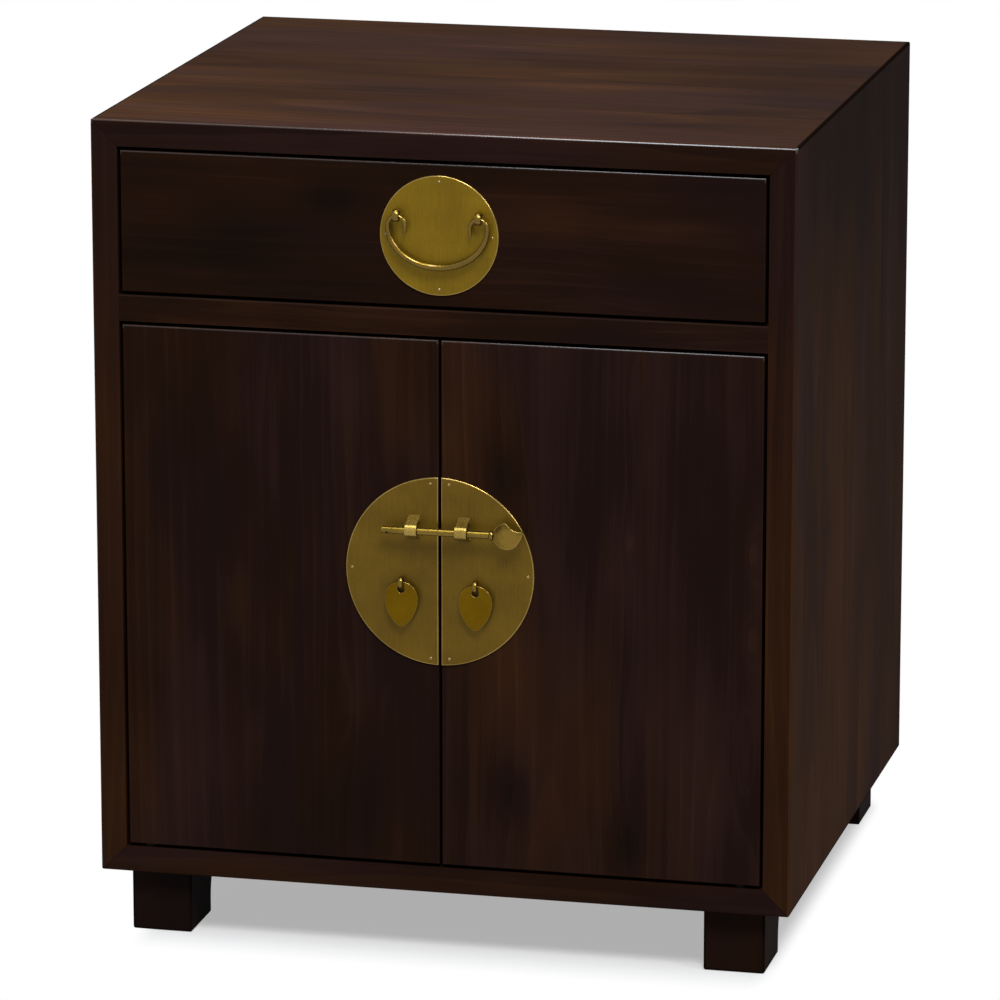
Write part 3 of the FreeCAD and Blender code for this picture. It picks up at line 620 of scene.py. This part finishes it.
drawer_brass = brass("drawer_brass", (92, 71, 7), (122, 97, 14), 0.4, metallic=0.55)
plate_brass = brass("plate_brass", (76, 57, 7), (102, 78, 15), 0.42, metallic=0.5)
rubbed_brass = brass("rubbed_brass", (116, 92, 36), (164, 138, 78), 0.24, brush=0.1, lacquer=0.2)
handle_brass = brass("handle_brass", (78, 58, 4), (122, 96, 16), 0.27, brush=0.1, lacquer=0.45)
staple_brass = brass(
    "staple_brass", (118, 94, 24), (176, 150, 72), 0.27, along="x", metallic=0.85, lacquer=0.4
)
rod_brass = brass("rod_brass", (84, 65, 10), (136, 110, 34), 0.25, along="x", lacquer=0.3)
coin_brass = brass("coin_brass", (66, 50, 10), (120, 97, 38), 0.4, brush=0.2, clouds=4.0, metallic=0.8)
pendant_brass = brass("pendant_brass", (86, 62, 0), (108, 82, 3), 0.3, brush=0.2, metallic=0.85)
nail_brass = brass("nail_brass", (112, 86, 50), (160, 130, 88), 0.26, brush=0.0)
# Painted shade: the pins, washers and bushes in the gaps are coloured near black, for the shade they lie in.
painted_shade_brass = brass("painted_shade_brass", (16, 12, 8), (27, 21, 13), 0.5, brush=0.2)
for node in ("door_pivot_pins", "door_pivot_washers", "left_door_bushes", "right_door_bushes", "shelf_pins"):
    dress(node, painted_shade_brass)

# %% Steel of the screws
def steel(name):
    """Grey steel with clouds and speckle, and no brush marks."""
    metal = Metal(name, Metallic=1.0)
    metal.age()
    colour = metal.ramp(0.5 + metal.cloud.swing(1.4), ramp_stops((0.2, 96, 94, 90), (0.8, 168, 166, 160)))
    metal.feed(metal.shader, {"Base Color": colour, "Roughness": 0.34 + metal.speckle.swing(0.2)})
    return metal.material


screw_steel = steel("screw_steel")

# %% [markdown]
# ## Tools for the hardware
#
# The brass pieces are made the way a metalworker makes them, with one short tool for each way: turned on a
# lathe, cut from sheet, or drawn along a line. Each tool starts from a few vertices and lets a bmesh
# operator do the rest. A last tool hands the mesh over: it turns the faces outwards, shades it, and ties it
# to the body that it rides on.

# %% Hand a mesh over as a finished piece
sharp_angle = 38.0


def piece(name, bm, body, material, stands_for, rubbed=None):
    """Make an object of a bmesh, ride it on a body and let it stand for nodes of the frame."""
    bmesh.ops.remove_doubles(bm, verts=bm.verts, dist=0.002 * mm)
    bmesh.ops.recalc_face_normals(bm, faces=bm.faces)
    data = mesh_of(name, bm)
    data.shade_smooth()
    data.set_sharp_from_angle(angle=math.radians(sharp_angle))
    for finish in (material, rubbed or material):
        data.materials.append(finish)
    made = add_object(name, data)
    even = made.modifiers.new("even_shading", "WEIGHTED_NORMAL")
    even.keep_sharp = True
    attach(made, body)
    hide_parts(*stands_for)
    print(f"{name}: {len(data.polygons)} faces on {body}")


# %% Turn, cut and soften
def verts_in(geometry):
    return [item for item in geometry if isinstance(item, bmesh.types.BMVert)]


def edges_in(geometry):
    return [item for item in geometry if isinstance(item, bmesh.types.BMEdge)]


def spin_round(bm, geometry, centre, axis, steps):
    """Spin geometry a whole turn round an axis and weld what meets."""
    bmesh.ops.spin(bm, geom=geometry, cent=centre, axis=axis, angle=math.tau, steps=steps, use_merge=True)
    bmesh.ops.remove_doubles(bm, verts=bm.verts, dist=0.001 * mm)


def turned(bm, profile, start, axis, steps):
    """Spin an outline of (radius, distance along) round an axis, as on a lathe."""
    axis = Vector(axis).normalized()
    side = axis.orthogonal().normalized()
    verts = [bm.verts.new(Vector(start) + side * radius + axis * along) for radius, along in profile]
    edges = [bm.edges.new(pair) for pair in zip(verts, verts[1:])]
    spin_round(bm, verts + edges, start, axis, steps)


def soften(bm, width, segments=3, angle=30.0, edges=None, rubbed=False):
    """Round the edges that are sharper than an angle. Rubbed edges take the second material."""
    sharp = [e for e in edges or bm.edges if e.is_manifold and e.calc_face_angle() > math.radians(angle)]
    bmesh.ops.bevel(
        bm, geom=sharp, offset=width, affect="EDGES", segments=segments, profile=0.5, clamp_overlap=True,
        material=1 if rubbed else -1,
    )


def cut_from_sheet(bm, outline, push, width=0.0, segments=3, rubbed=False):
    """Extrude a closed outline of points along a vector and round its rims."""
    verts = [bm.verts.new(point) for point in outline]
    face = bm.faces.new(verts)
    moved = verts_in(bmesh.ops.extrude_face_region(bm, geom=[face], use_keep_orig=True)["geom"])
    bmesh.ops.translate(bm, verts=moved, vec=push)
    faces = {linked for vert in verts + moved for linked in vert.link_faces}
    bmesh.ops.recalc_face_normals(bm, faces=list(faces))
    if width:
        soften(bm, width, segments, edges={edge for face in faces for edge in face.edges}, rubbed=rubbed)


def on_circle(centre, radius, angle):
    """The point of (across, up) on a circle at an angle in degrees."""
    turn = math.radians(angle)
    return centre[0] + radius * math.cos(turn), centre[1] + radius * math.sin(turn)


def arc(centre, radius, start, end, steps, last=True):
    """Points of (across, up) on an arc between two angles in degrees."""
    count = steps + 1 if last else steps
    return [on_circle(centre, radius, start + (end - start) * step / steps) for step in range(count)]


def facing(points, y):
    """Points of (across, up) set in the upright plane at a depth y."""
    return [Vector((across, y, up)) for across, up in points]


def pierce(bm, cutter):
    """Cut one closed mesh out of another."""
    objects = []
    for part in (bm, cutter):
        bmesh.ops.recalc_face_normals(part, faces=part.faces)
        objects.append(add_object("part", mesh_of("part", part)))
    cut = objects[0].modifiers.new("cut", "BOOLEAN")
    cut.object, cut.solver = objects[1], "EXACT"
    shape = objects[0].evaluated_get(bpy.context.evaluated_depsgraph_get())
    result = bmesh.new()
    result.from_mesh(shape.to_mesh())
    for spent in objects:
        bpy.data.objects.remove(spent)
    return result


# %% [markdown]
# ## The round plates
#
# Both plates are discs of sheet brass. The doors' plate was made whole and then sawn in two, so that each
# door carries a half: here the disc is cut by a plane too, and the sawn edge is filed round like the rim.

# %% Cut the plates
plate_low, plate_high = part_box("drawer_plate")
plate_front, plate_back = plate_low.y, plate_high.y
rim_round, rim_steps = 0.9 * mm, 180


def disc(centre_z, radius):
    """A disc of sheet brass in the plane of the front."""
    bm = bmesh.new()
    rim = arc((0, centre_z), radius, 0, 360, rim_steps, last=False)
    cut_from_sheet(bm, facing(rim, plate_back), (0, plate_front - plate_back, 0))
    return bm


def file_front(bm):
    """Round the rim of a sheet where it meets its front face."""
    front = [e for e in bm.edges if all(abs(v.co.y - plate_front) < 0.01 * mm for v in e.verts)]
    soften(bm, rim_round, 4, edges=front, rubbed=True)


drawer_disc = disc((plate_low.z + plate_high.z) / 2, (plate_high.x - plate_low.x) / 2)
file_front(drawer_disc)
piece("drawer_round_plate", drawer_disc, "drawer", drawer_brass, ["drawer_plate"], rubbed_brass)

for side, sign in (("left", -1), ("right", 1)):
    low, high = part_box(f"{side}_door_plate")
    sawn_x, outer_x = (high.x, low.x) if sign < 0 else (low.x, high.x)
    half = disc((low.z + high.z) / 2, abs(outer_x))
    sawn = bmesh.ops.bisect_plane(
        half, geom=half.verts[:] + half.edges[:] + half.faces[:],
        plane_co=(sawn_x, 0, 0), plane_no=(-sign, 0, 0), clear_outer=True,
    )
    bmesh.ops.edgenet_fill(half, edges=edges_in(sawn["geom_cut"]))
    bmesh.ops.recalc_face_normals(half, faces=half.faces)
    file_front(half)
    piece(f"{side}_half_plate", half, f"{side}_door", plate_brass, [f"{side}_door_plate"], rubbed_brass)

# %% [markdown]
# ## Nails
#
# Small round-headed brass nails hold the plates near their rims. A nail is a turned thing: a few points of
# its outline, spun. The places come from the nodes' boxes: four round the drawer's plate, and on each half
# plate one at the middle of the rim and two near the sawn edge.

# %% Drive the nails
nail_head, nail_crown, nail_shank, nail_length = 1.3 * mm, 0.6 * mm, 0.7 * mm, 12.0 * mm
crown_steps = 5
turns = [math.pi / 2 * step / crown_steps for step in range(crown_steps + 1)]
dome = [(nail_head * math.sin(turn), -nail_crown * math.cos(turn)) for turn in turns]
shank = [(nail_shank, 0), (nail_shank, nail_length - nail_shank * 2), (0, nail_length)]
for side, body in (("drawer", "drawer"), ("left", "left_door"), ("right", "right_door")):
    low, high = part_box(f"{side}_plate_nails")
    left, right, down, up = low.x + nail_head, high.x - nail_head, low.z + nail_head, high.z - nail_head
    level = (down + up) / 2
    places = {
        "drawer": [(left, level), (right, level), (0, down), (0, up)],
        "left": [(left, level), (right, down), (right, up)],
        "right": [(right, level), (left, down), (left, up)],
    }
    nails = bmesh.new()
    for x, z in places[side]:
        turned(nails, dome + shank, (x, plate_front, z), (0, 1, 0), steps=20)
    piece(f"{side}_nails", nails, body, nail_brass, [f"{side}_plate_nails"])

# %% [markdown]
# ## Eyes
#
# An eye is a strip of half-round brass bent into a ring. Its two ends go back together through the plate and
# the wood and are clenched behind it, one up and one down. The ring is an oval section spun round the line
# that the handle hangs on, and the ends are cut as flat points.

# %% Bend the eyes
bail_eye_thick, pendant_eye_thick = 2.0 * mm, 1.7 * mm
clench_taper, leg_share, tip_share = 3.0 * mm, 0.42, 0.1
leg_round, clench_round = 0.25 * mm, 0.3 * mm


def eye(node, thick, wood_back):
    """A ring with two clenched legs, sized by its node's box."""
    low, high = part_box(node)
    width, x, z = high.x - low.x, (low.x + high.x) / 2, (low.z + high.z) / 2
    outer = (plate_front - low.y) / 2
    centre = Vector((x, low.y + outer, z))
    bm = bmesh.new()
    section = bmesh.ops.create_circle(bm, cap_ends=False, segments=20, radius=1.0)["verts"]
    bmesh.ops.scale(bm, verts=section, vec=(width / 2, thick / 2, 1))
    bmesh.ops.translate(bm, verts=section, vec=centre + Vector((0, thick / 2 - outer, 0)))
    spin_round(bm, section + bm.edges[:], centre, (1, 0, 0), 48)
    left, right, reach = x - width * leg_share, x + width * leg_share, high.z - z
    for up in (-1, 1):
        edge, taper, tip = z + up * thick, z + up * (reach - clench_taper), z + up * reach
        leg = facing([(left, z), (right, z), (right, edge), (left, edge)], plate_front - thick / 2)
        cut_from_sheet(bm, leg, (0, wood_back - plate_front + thick, 0), leg_round, 2)
        point = [(right, taper), (x + width * tip_share, tip), (x - width * tip_share, tip), (left, taper)]
        clench = facing([(left, z), (right, z)] + point, wood_back)
        cut_from_sheet(bm, clench, (0, high.y - wood_back, 0), clench_round, 2)
    return bm


drawer_wood_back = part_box("drawer_front")[1].y
door_wood_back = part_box("left_door")[1].y
for side in ("left", "right"):
    eye_bm = eye(f"bail_eye_{side}", bail_eye_thick, drawer_wood_back)
    piece(f"bail_eye_loop_{side}", eye_bm, "drawer", handle_brass, [f"bail_eye_{side}"])
    eye_bm = eye(f"{side}_pendant_eye", pendant_eye_thick, door_wood_back)
    piece(f"pendant_eye_loop_{side}", eye_bm, f"{side}_door", handle_brass, [f"{side}_pendant_eye"])

# %% [markdown]
# ## The bail
#
# The drawer's handle is one round bar: a wide bow, an arch through each eye, and a short tail that tapers to
# a point. It is made ring by ring: the first ring is a circle, and each next one is extruded from it and set
# on its own place, direction and radius.

# %% Draw a round bar along stations
def drawn(bm, stations, segments=24):
    """Extrude a ring through stations of (place, direction, radius) in one upright plane, and close it."""
    def setting(place, direction, radius):
        """The matrix that puts a ring of radius 1 on its station."""
        forward = direction.normalized()
        out = Vector((0, -1, 0))
        facing_along = Matrix((forward.cross(out), out, -forward)).transposed().to_4x4()
        return Matrix.Translation(place) @ facing_along @ Matrix.Scale(radius, 4)

    matrices = [setting(*station) for station in stations]
    first = bmesh.ops.create_circle(bm, cap_ends=False, segments=segments, radius=1.0, matrix=matrices[0])
    ring = first["verts"]
    edges = list({edge for vert in ring for edge in vert.link_edges})
    bm.faces.new(ring)
    for before, after in zip(matrices, matrices[1:]):
        extruded = bmesh.ops.extrude_edge_only(bm, edges=edges)["geom"]
        ring = verts_in(extruded)
        edges = [edge for edge in edges_in(extruded) if all(vert in ring for vert in edge.verts)]
        bmesh.ops.transform(bm, matrix=after @ before.inverted(), verts=ring)
    bmesh.ops.edgenet_fill(bm, edges=edges)


# %% Forge the bail
bail_low, bail_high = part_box("drawer_bail")
arch_radius, tail_drop, tail_lean = 7.0 * mm, 14.8 * mm, 1.4 * mm
bow_thick, limb_thick, arch_thick, tail_thick = 2.6 * mm, 2.1 * mm, 1.7 * mm, 0.6 * mm
eye_low, eye_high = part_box("bail_eye_right")
eye_x = (eye_low.x + eye_high.x) / 2
bail_y = (bail_low.y + bail_high.y) / 2
spring_z = bail_high.z - arch_thick - arch_radius
bow_x, bow_height = eye_x + arch_radius, spring_z - bail_low.z - bow_thick
tail_steps, arch_steps, bow_steps = 6, 14, 26
tail_power = 1.4


def station(x, z, direction_x, direction_z, thick):
    """A place, a direction and a radius in the plane of the bail."""
    return Vector((x, bail_y, z)), Vector((direction_x, 0, direction_z)), thick


half_bail = []
limb_drop = tail_drop - arch_radius
limb_radius = (limb_drop**2 + tail_lean**2) / (2 * tail_lean)
for step in range(tail_steps, 0, -1):
    share = step / tail_steps
    turn = math.asin(limb_drop / limb_radius) * share
    across, down = eye_x - arch_radius + limb_radius * (1 - math.cos(turn)), limb_radius * math.sin(turn)
    thick = arch_thick + (tail_thick - arch_thick) * share**tail_power
    half_bail.append(station(across, spring_z - down, -math.sin(turn), math.cos(turn), thick))
for step in range(arch_steps + 1):
    turn = math.pi * (1 - step / arch_steps)
    across, up = eye_x + arch_radius * math.cos(turn), arch_radius * math.sin(turn)
    half_bail.append(station(across, spring_z + up, math.sin(turn), -math.cos(turn), arch_thick))
for step in range(1, bow_steps + 1):
    turn = math.pi / 2 * step / bow_steps
    cos, sin = math.cos(turn), math.sin(turn)
    thick = arch_thick + (limb_thick - arch_thick) * min(1, 2 * sin) + (bow_thick - limb_thick) * sin
    across, down = bow_x * cos, bow_height * sin
    half_bail.append(station(across, spring_z - down, -bow_x * sin, -bow_height * cos, thick))
other_half = [station(-place.x, place.z, d.x, -d.z, thick) for place, d, thick in half_bail[-2::-1]]
bail = bmesh.new()
drawn(bail, half_bail + other_half)
piece("bail_handle", bail, "bail", handle_brass, ["drawer_bail"])

# %% [markdown]
# ## Staples
#
# A staple is a flat strap bent over the bolt. Its outline from the side is an arch with straight legs,
# pushed across by the strap's width. Behind the plate it goes on as two narrower prongs, which are clenched
# behind the door.

# %% Bend the staples
staple_thick, prong_width, ring_outer = 1.5 * mm, 4.0 * mm, 5.4 * mm
splay, foot_thick, ring_steps = 10.0 * mm, 0.8 * mm, 26
strap_round, prong_round, bend_ease = 0.35 * mm, 0.25 * mm, 0.4 * mm


def strap(x, z, ring_y, width):
    """The outline of a staple: an arch whose legs splay towards the plate, on inturned feet."""
    ring_inner = ring_outer - staple_thick
    depth = plate_front - ring_y
    lean = math.atan2(splay, depth) + math.acos(ring_outer / math.hypot(splay, depth))
    leg_inner = (ring_inner - depth * math.cos(lean)) / math.sin(lean)
    turn, foot_y = math.degrees(lean), plate_front - foot_thick
    outside = arc((ring_y, 0), ring_outer, turn, 360 - turn, ring_steps)
    outside = [(plate_front, splay)] + outside + [(plate_front, -splay)]
    foot = [(plate_front, -ring_inner), (foot_y, -ring_inner), (foot_y, -leg_inner)]
    inside = arc((ring_y, 0), ring_inner, 360 - turn, turn, ring_steps)
    other_foot = [(y, -height) for y, height in foot[::-1]]
    return [Vector((x - width / 2, y, z + height)) for y, height in outside + foot + inside + other_foot]


for side in ("left", "right"):
    low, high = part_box(f"{side}_staple")
    width, x, z = high.x - low.x, (low.x + high.x) / 2, (low.z + high.z) / 2
    bm = bmesh.new()
    arch = strap(x, z, low.y + ring_outer, width)
    cut_from_sheet(bm, arch, (width, 0, 0), strap_round, rubbed=True)
    back, behind, reach = door_wood_back, high.y, high.z - z
    for up in (-1, 1):
        near, far = z + up * (ring_outer - staple_thick), z + up * ring_outer
        taper, tip = z + up * (reach - clench_taper), z + up * reach
        bend = [
            (plate_front, near), (behind, near), (behind, tip), (back + bend_ease, tip),
            (back, taper), (back, far), (plate_front, far),
        ]
        outline = [Vector((x - prong_width / 2, y, height)) for y, height in bend]
        cut_from_sheet(bm, outline, (prong_width, 0, 0), prong_round, 2)
    piece(f"{side}_bolt_staple", bm, f"{side}_door", staple_brass, [f"{side}_staple"], rubbed_brass)

# %% [markdown]
# ## The slide bolt
#
# The bolt is a turned rod with a small collar, and a flat head like a coin with a bite taken out of it,
# which leaves a beak at its upper right. The rod is spun from its outline; a small hole is drilled through
# it near the tip.

# %% Turn the bolt
bolt_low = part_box("slide_bolt")[0]
staple_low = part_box("right_staple")[0]
rod_radius, collar_radius = 2.85 * mm, 3.8 * mm
head_radius, head_thick = 10.7 * mm, 2.4 * mm
collar_place, head_place = 44.0 * mm, 56.0 * mm
rod_y = staple_low.y + ring_outer
rod_z = bolt_low.z + head_radius
tip_x = bolt_low.x
collar = collar_place - tip_x
rod_outline = [
    (0, 0), (rod_radius * 0.6, 0.02 * mm), (rod_radius * 0.86, 0.25 * mm), (rod_radius, 0.8 * mm),
    (rod_radius, collar - 1.9 * mm), (rod_radius * 0.88, collar - 1.5 * mm),
    (collar_radius * 0.94, collar - 1.2 * mm), (collar_radius, collar - 0.5 * mm),
    (collar_radius, collar + 0.5 * mm), (collar_radius * 0.94, collar + 1.2 * mm),
    (rod_radius * 0.7, collar + 1.6 * mm), (head_thick * 0.42, collar + 2.2 * mm), (0, collar + 2.5 * mm),
]
rod = bmesh.new()
turned(rod, rod_outline, (tip_x, rod_y, rod_z), (1, 0, 0), steps=32)

hole_radius, hole_from_tip, hole_tilt = 1.0 * mm, 5.0 * mm, math.radians(40)
through = Vector((0, math.cos(hole_tilt), math.sin(hole_tilt)))
hole_middle = Vector((tip_x + hole_from_tip, rod_y, rod_z))
drill = bmesh.new()
half_drill = rod_radius * 2
drill_outline = [(0, 0), (hole_radius, 0), (hole_radius, half_drill * 2), (0, half_drill * 2)]
turned(drill, drill_outline, hole_middle - through * half_drill, through, steps=20)
rod = pierce(rod, drill)
piece("bolt_rod", rod, "bolt", rod_brass, ["slide_bolt"])

# %% Cut the bolt's head
bite, bite_radius, shoulder_round = Vector((10.5 * mm, 16.0 * mm)), 12.0 * mm, 3.0 * mm
beak_angle, foot_angle, beak_belly, belly_steps = -77.0, -28.0, 1.0 * mm, 5
head_round, outline_sharp = 0.6 * mm, 50
near_head, near_bite = head_radius - shoulder_round, bite_radius + shoulder_round
reach = (near_head**2 - near_bite**2 + bite.length_squared) / (2 * bite.length)
shoulder = bite.normalized() * reach + bite.normalized().orthogonal() * math.sqrt(near_head**2 - reach**2)
shoulder_angle = math.degrees(math.atan2(shoulder.y, shoulder.x))
bite_angle = math.degrees(math.atan2(shoulder.y - bite.y, shoulder.x - bite.x))
beak = Vector(on_circle(bite, bite_radius, beak_angle))
foot_point = Vector(on_circle((0, 0), head_radius, foot_angle))
head_outline = arc((0, 0), head_radius, shoulder_angle, 360 + foot_angle, 60)
for step in range(1, belly_steps):
    share = step / belly_steps
    head_outline.append(foot_point.lerp(beak, share) + Vector((beak_belly * 4 * share * (1 - share), 0)))
head_outline += arc(bite, bite_radius, beak_angle, bite_angle, 24, last=False)
head_outline += arc(shoulder, shoulder_round, bite_angle + 180, shoulder_angle, 12, last=False)
outline = facing([(head_place + across, rod_z + up) for across, up in head_outline], rod_y + head_thick / 2)
head = bmesh.new()
cut_from_sheet(head, outline, (0, -head_thick, 0))
soften(head, head_round, 4, angle=outline_sharp, rubbed=True)
piece("bolt_head", head, "bolt", coin_brass, ["slide_bolt"], rubbed_brass)

# %% [markdown]
# ## Pendants
#
# Each door has a drop of sheet brass to pull it by: round above, narrow below, with a hole that its eye goes
# through. The outline is four arcs that meet smoothly. It is bridged to the circle of the hole, and that
# flat ring is then given its thickness.

# %% Cut the pendants
tip_radius, pendant_thick, bridge, hole = 5.0 * mm, 1.6 * mm, 3.0 * mm, 3.0 * mm
pendant_round = 0.55 * mm
for side in ("left", "right"):
    low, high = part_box(f"{side}_pendant")
    x, half_width = (low.x + high.x) / 2, (high.x - low.x) / 2
    wide_z, tip_z = high.z - half_width, low.z + tip_radius
    fall = wide_z - tip_z
    flank = (fall**2 + half_width**2 - tip_radius**2) / (2 * (half_width - tip_radius))
    touch = math.degrees(math.atan2(fall, flank - half_width))
    outline = arc((x, wide_z), half_width, 180, 0, 48, last=False)
    outline += arc((x + half_width - flank, wide_z), flank, 0, -touch, 24, last=False)
    outline += arc((x, tip_z), tip_radius, -touch, touch - 180, 18, last=False)
    outline += arc((x - half_width + flank, wide_z), flank, 180 + touch, 180, 24, last=False)
    back_y = (low.y + high.y) / 2 + pendant_thick / 2
    hole_rim = arc((x, high.z - bridge - hole), hole, 180, -180, 40, last=False)
    bm = bmesh.new()
    loops = []
    for points in (outline, hole_rim):
        verts = [bm.verts.new(point) for point in facing(points, back_y)]
        loops += [bm.edges.new(pair) for pair in zip(verts, verts[1:] + verts[:1])]
    bmesh.ops.bridge_loops(bm, edges=loops)
    leaf = bmesh.ops.extrude_face_region(bm, geom=bm.faces[:], use_keep_orig=True)["geom"]
    bmesh.ops.translate(bm, verts=verts_in(leaf), vec=(0, -pendant_thick, 0))
    bmesh.ops.recalc_face_normals(bm, faces=bm.faces)
    soften(bm, pendant_round, 4, angle=outline_sharp, rubbed=True)
    piece(f"{side}_drop", bm, f"{side}_pendant", pendant_brass, [f"{side}_pendant"], handle_brass)

# %% [markdown]
# ## Screws
#
# Countersunk steel screws hold the back panel, the drawer runners and the feet. They are all alike but for
# their length, so one is turned, a cross is cut into its head, and copies of it are set at each place. Each
# cross is left at its own angle, as a screwdriver leaves it.

# %% Make one screw
screw_head, screw_shank, screw_sink, screw_point = 3.6 * mm, 1.8 * mm, 2.8 * mm, 3.0 * mm
screw_worn, cross_turn = 0.15 * mm, 0.7
cross_reach, cross_width, cross_depth = 2.0 * mm, 0.8 * mm, 1.3 * mm


def screw_pattern(length):
    """A screw that points up Z, with the face of its head at zero."""
    outline = [(0, 0), (screw_head - screw_worn, 0), (screw_head, screw_worn), (screw_shank, screw_sink)]
    outline += [(screw_shank, length - screw_point), (0, length)]
    bm = bmesh.new()
    turned(bm, outline, (0, 0, 0), (0, 0, 1), steps=24)
    bar = Matrix.Diagonal((cross_reach * 2, cross_width, cross_depth * 2, 1))
    for turn in (0, math.pi / 2):
        cutter = bmesh.new()
        bmesh.ops.create_cube(cutter, size=1, matrix=Matrix.Rotation(turn, 4, "Z") @ bar)
        bm = pierce(bm, cutter)
    return mesh_of("screw", bm)


def drive(name, node, length, places):
    """Copies of one screw, each at its (head, direction), as one piece."""
    pattern = screw_pattern(length)
    bm = bmesh.new()
    for number, (head, direction) in enumerate(places):
        already = len(bm.verts)
        bm.from_mesh(pattern)
        bm.verts.ensure_lookup_table()
        turn = Vector(direction).to_track_quat("Z", "Y").to_matrix().to_4x4()
        place = Matrix.Translation(head) @ turn @ Matrix.Rotation(number * cross_turn, 4, "Z")
        bmesh.ops.transform(bm, matrix=place, verts=bm.verts[already:])
    piece(name, bm, "cabinet", screw_steel, [node])


def spread(low, high, count):
    """Evenly spaced places, both ends included."""
    return [low + (high - low) * step / (count - 1) for step in range(count)]


# %% Drive the screws
low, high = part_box("back_panel_screws")
panel_rows, panel_columns, screws_per_runner = 4, 5, 3
inset = Vector((screw_head, 0, screw_head))
low, high = low + inset, high - inset
spots = [(x, z) for x in (low.x, high.x) for z in spread(low.z, high.z, panel_rows)]
spots += [(x, z) for x in spread(low.x, high.x, panel_columns)[1:-1] for z in (low.z, high.z)]
panel_length = high.y - low.y
drive("panel_screws", "back_panel_screws", panel_length, [((x, high.y, z), (0, -1, 0)) for x, z in spots])

low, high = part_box("runner_screws")
runner_face = -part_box("drawer_runner_left")[1].x
runner_length, runner_z = high.x - runner_face, (low.z + high.z) / 2
places = []
for side in (-1, 1):
    for y in spread(low.y + screw_head, high.y - screw_head, screws_per_runner):
        places.append(((side * runner_face, y, runner_z), (side, 0, 0)))
drive("ledge_screws", "runner_screws", runner_length, places)

low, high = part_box("foot_screws")
foot_deep = 56.0 * mm
pair_gap = foot_deep / 3
places = []
for x in (low.x + screw_head, high.x - screw_head):
    for y, step in ((low.y + screw_head, pair_gap), (high.y - screw_head, -pair_gap)):
        places += [((x, y, high.z), (0, 0, -1)), ((x, y + step, high.z), (0, 0, -1))]
drive("leg_screws", "foot_screws", high.z - low.z, places)
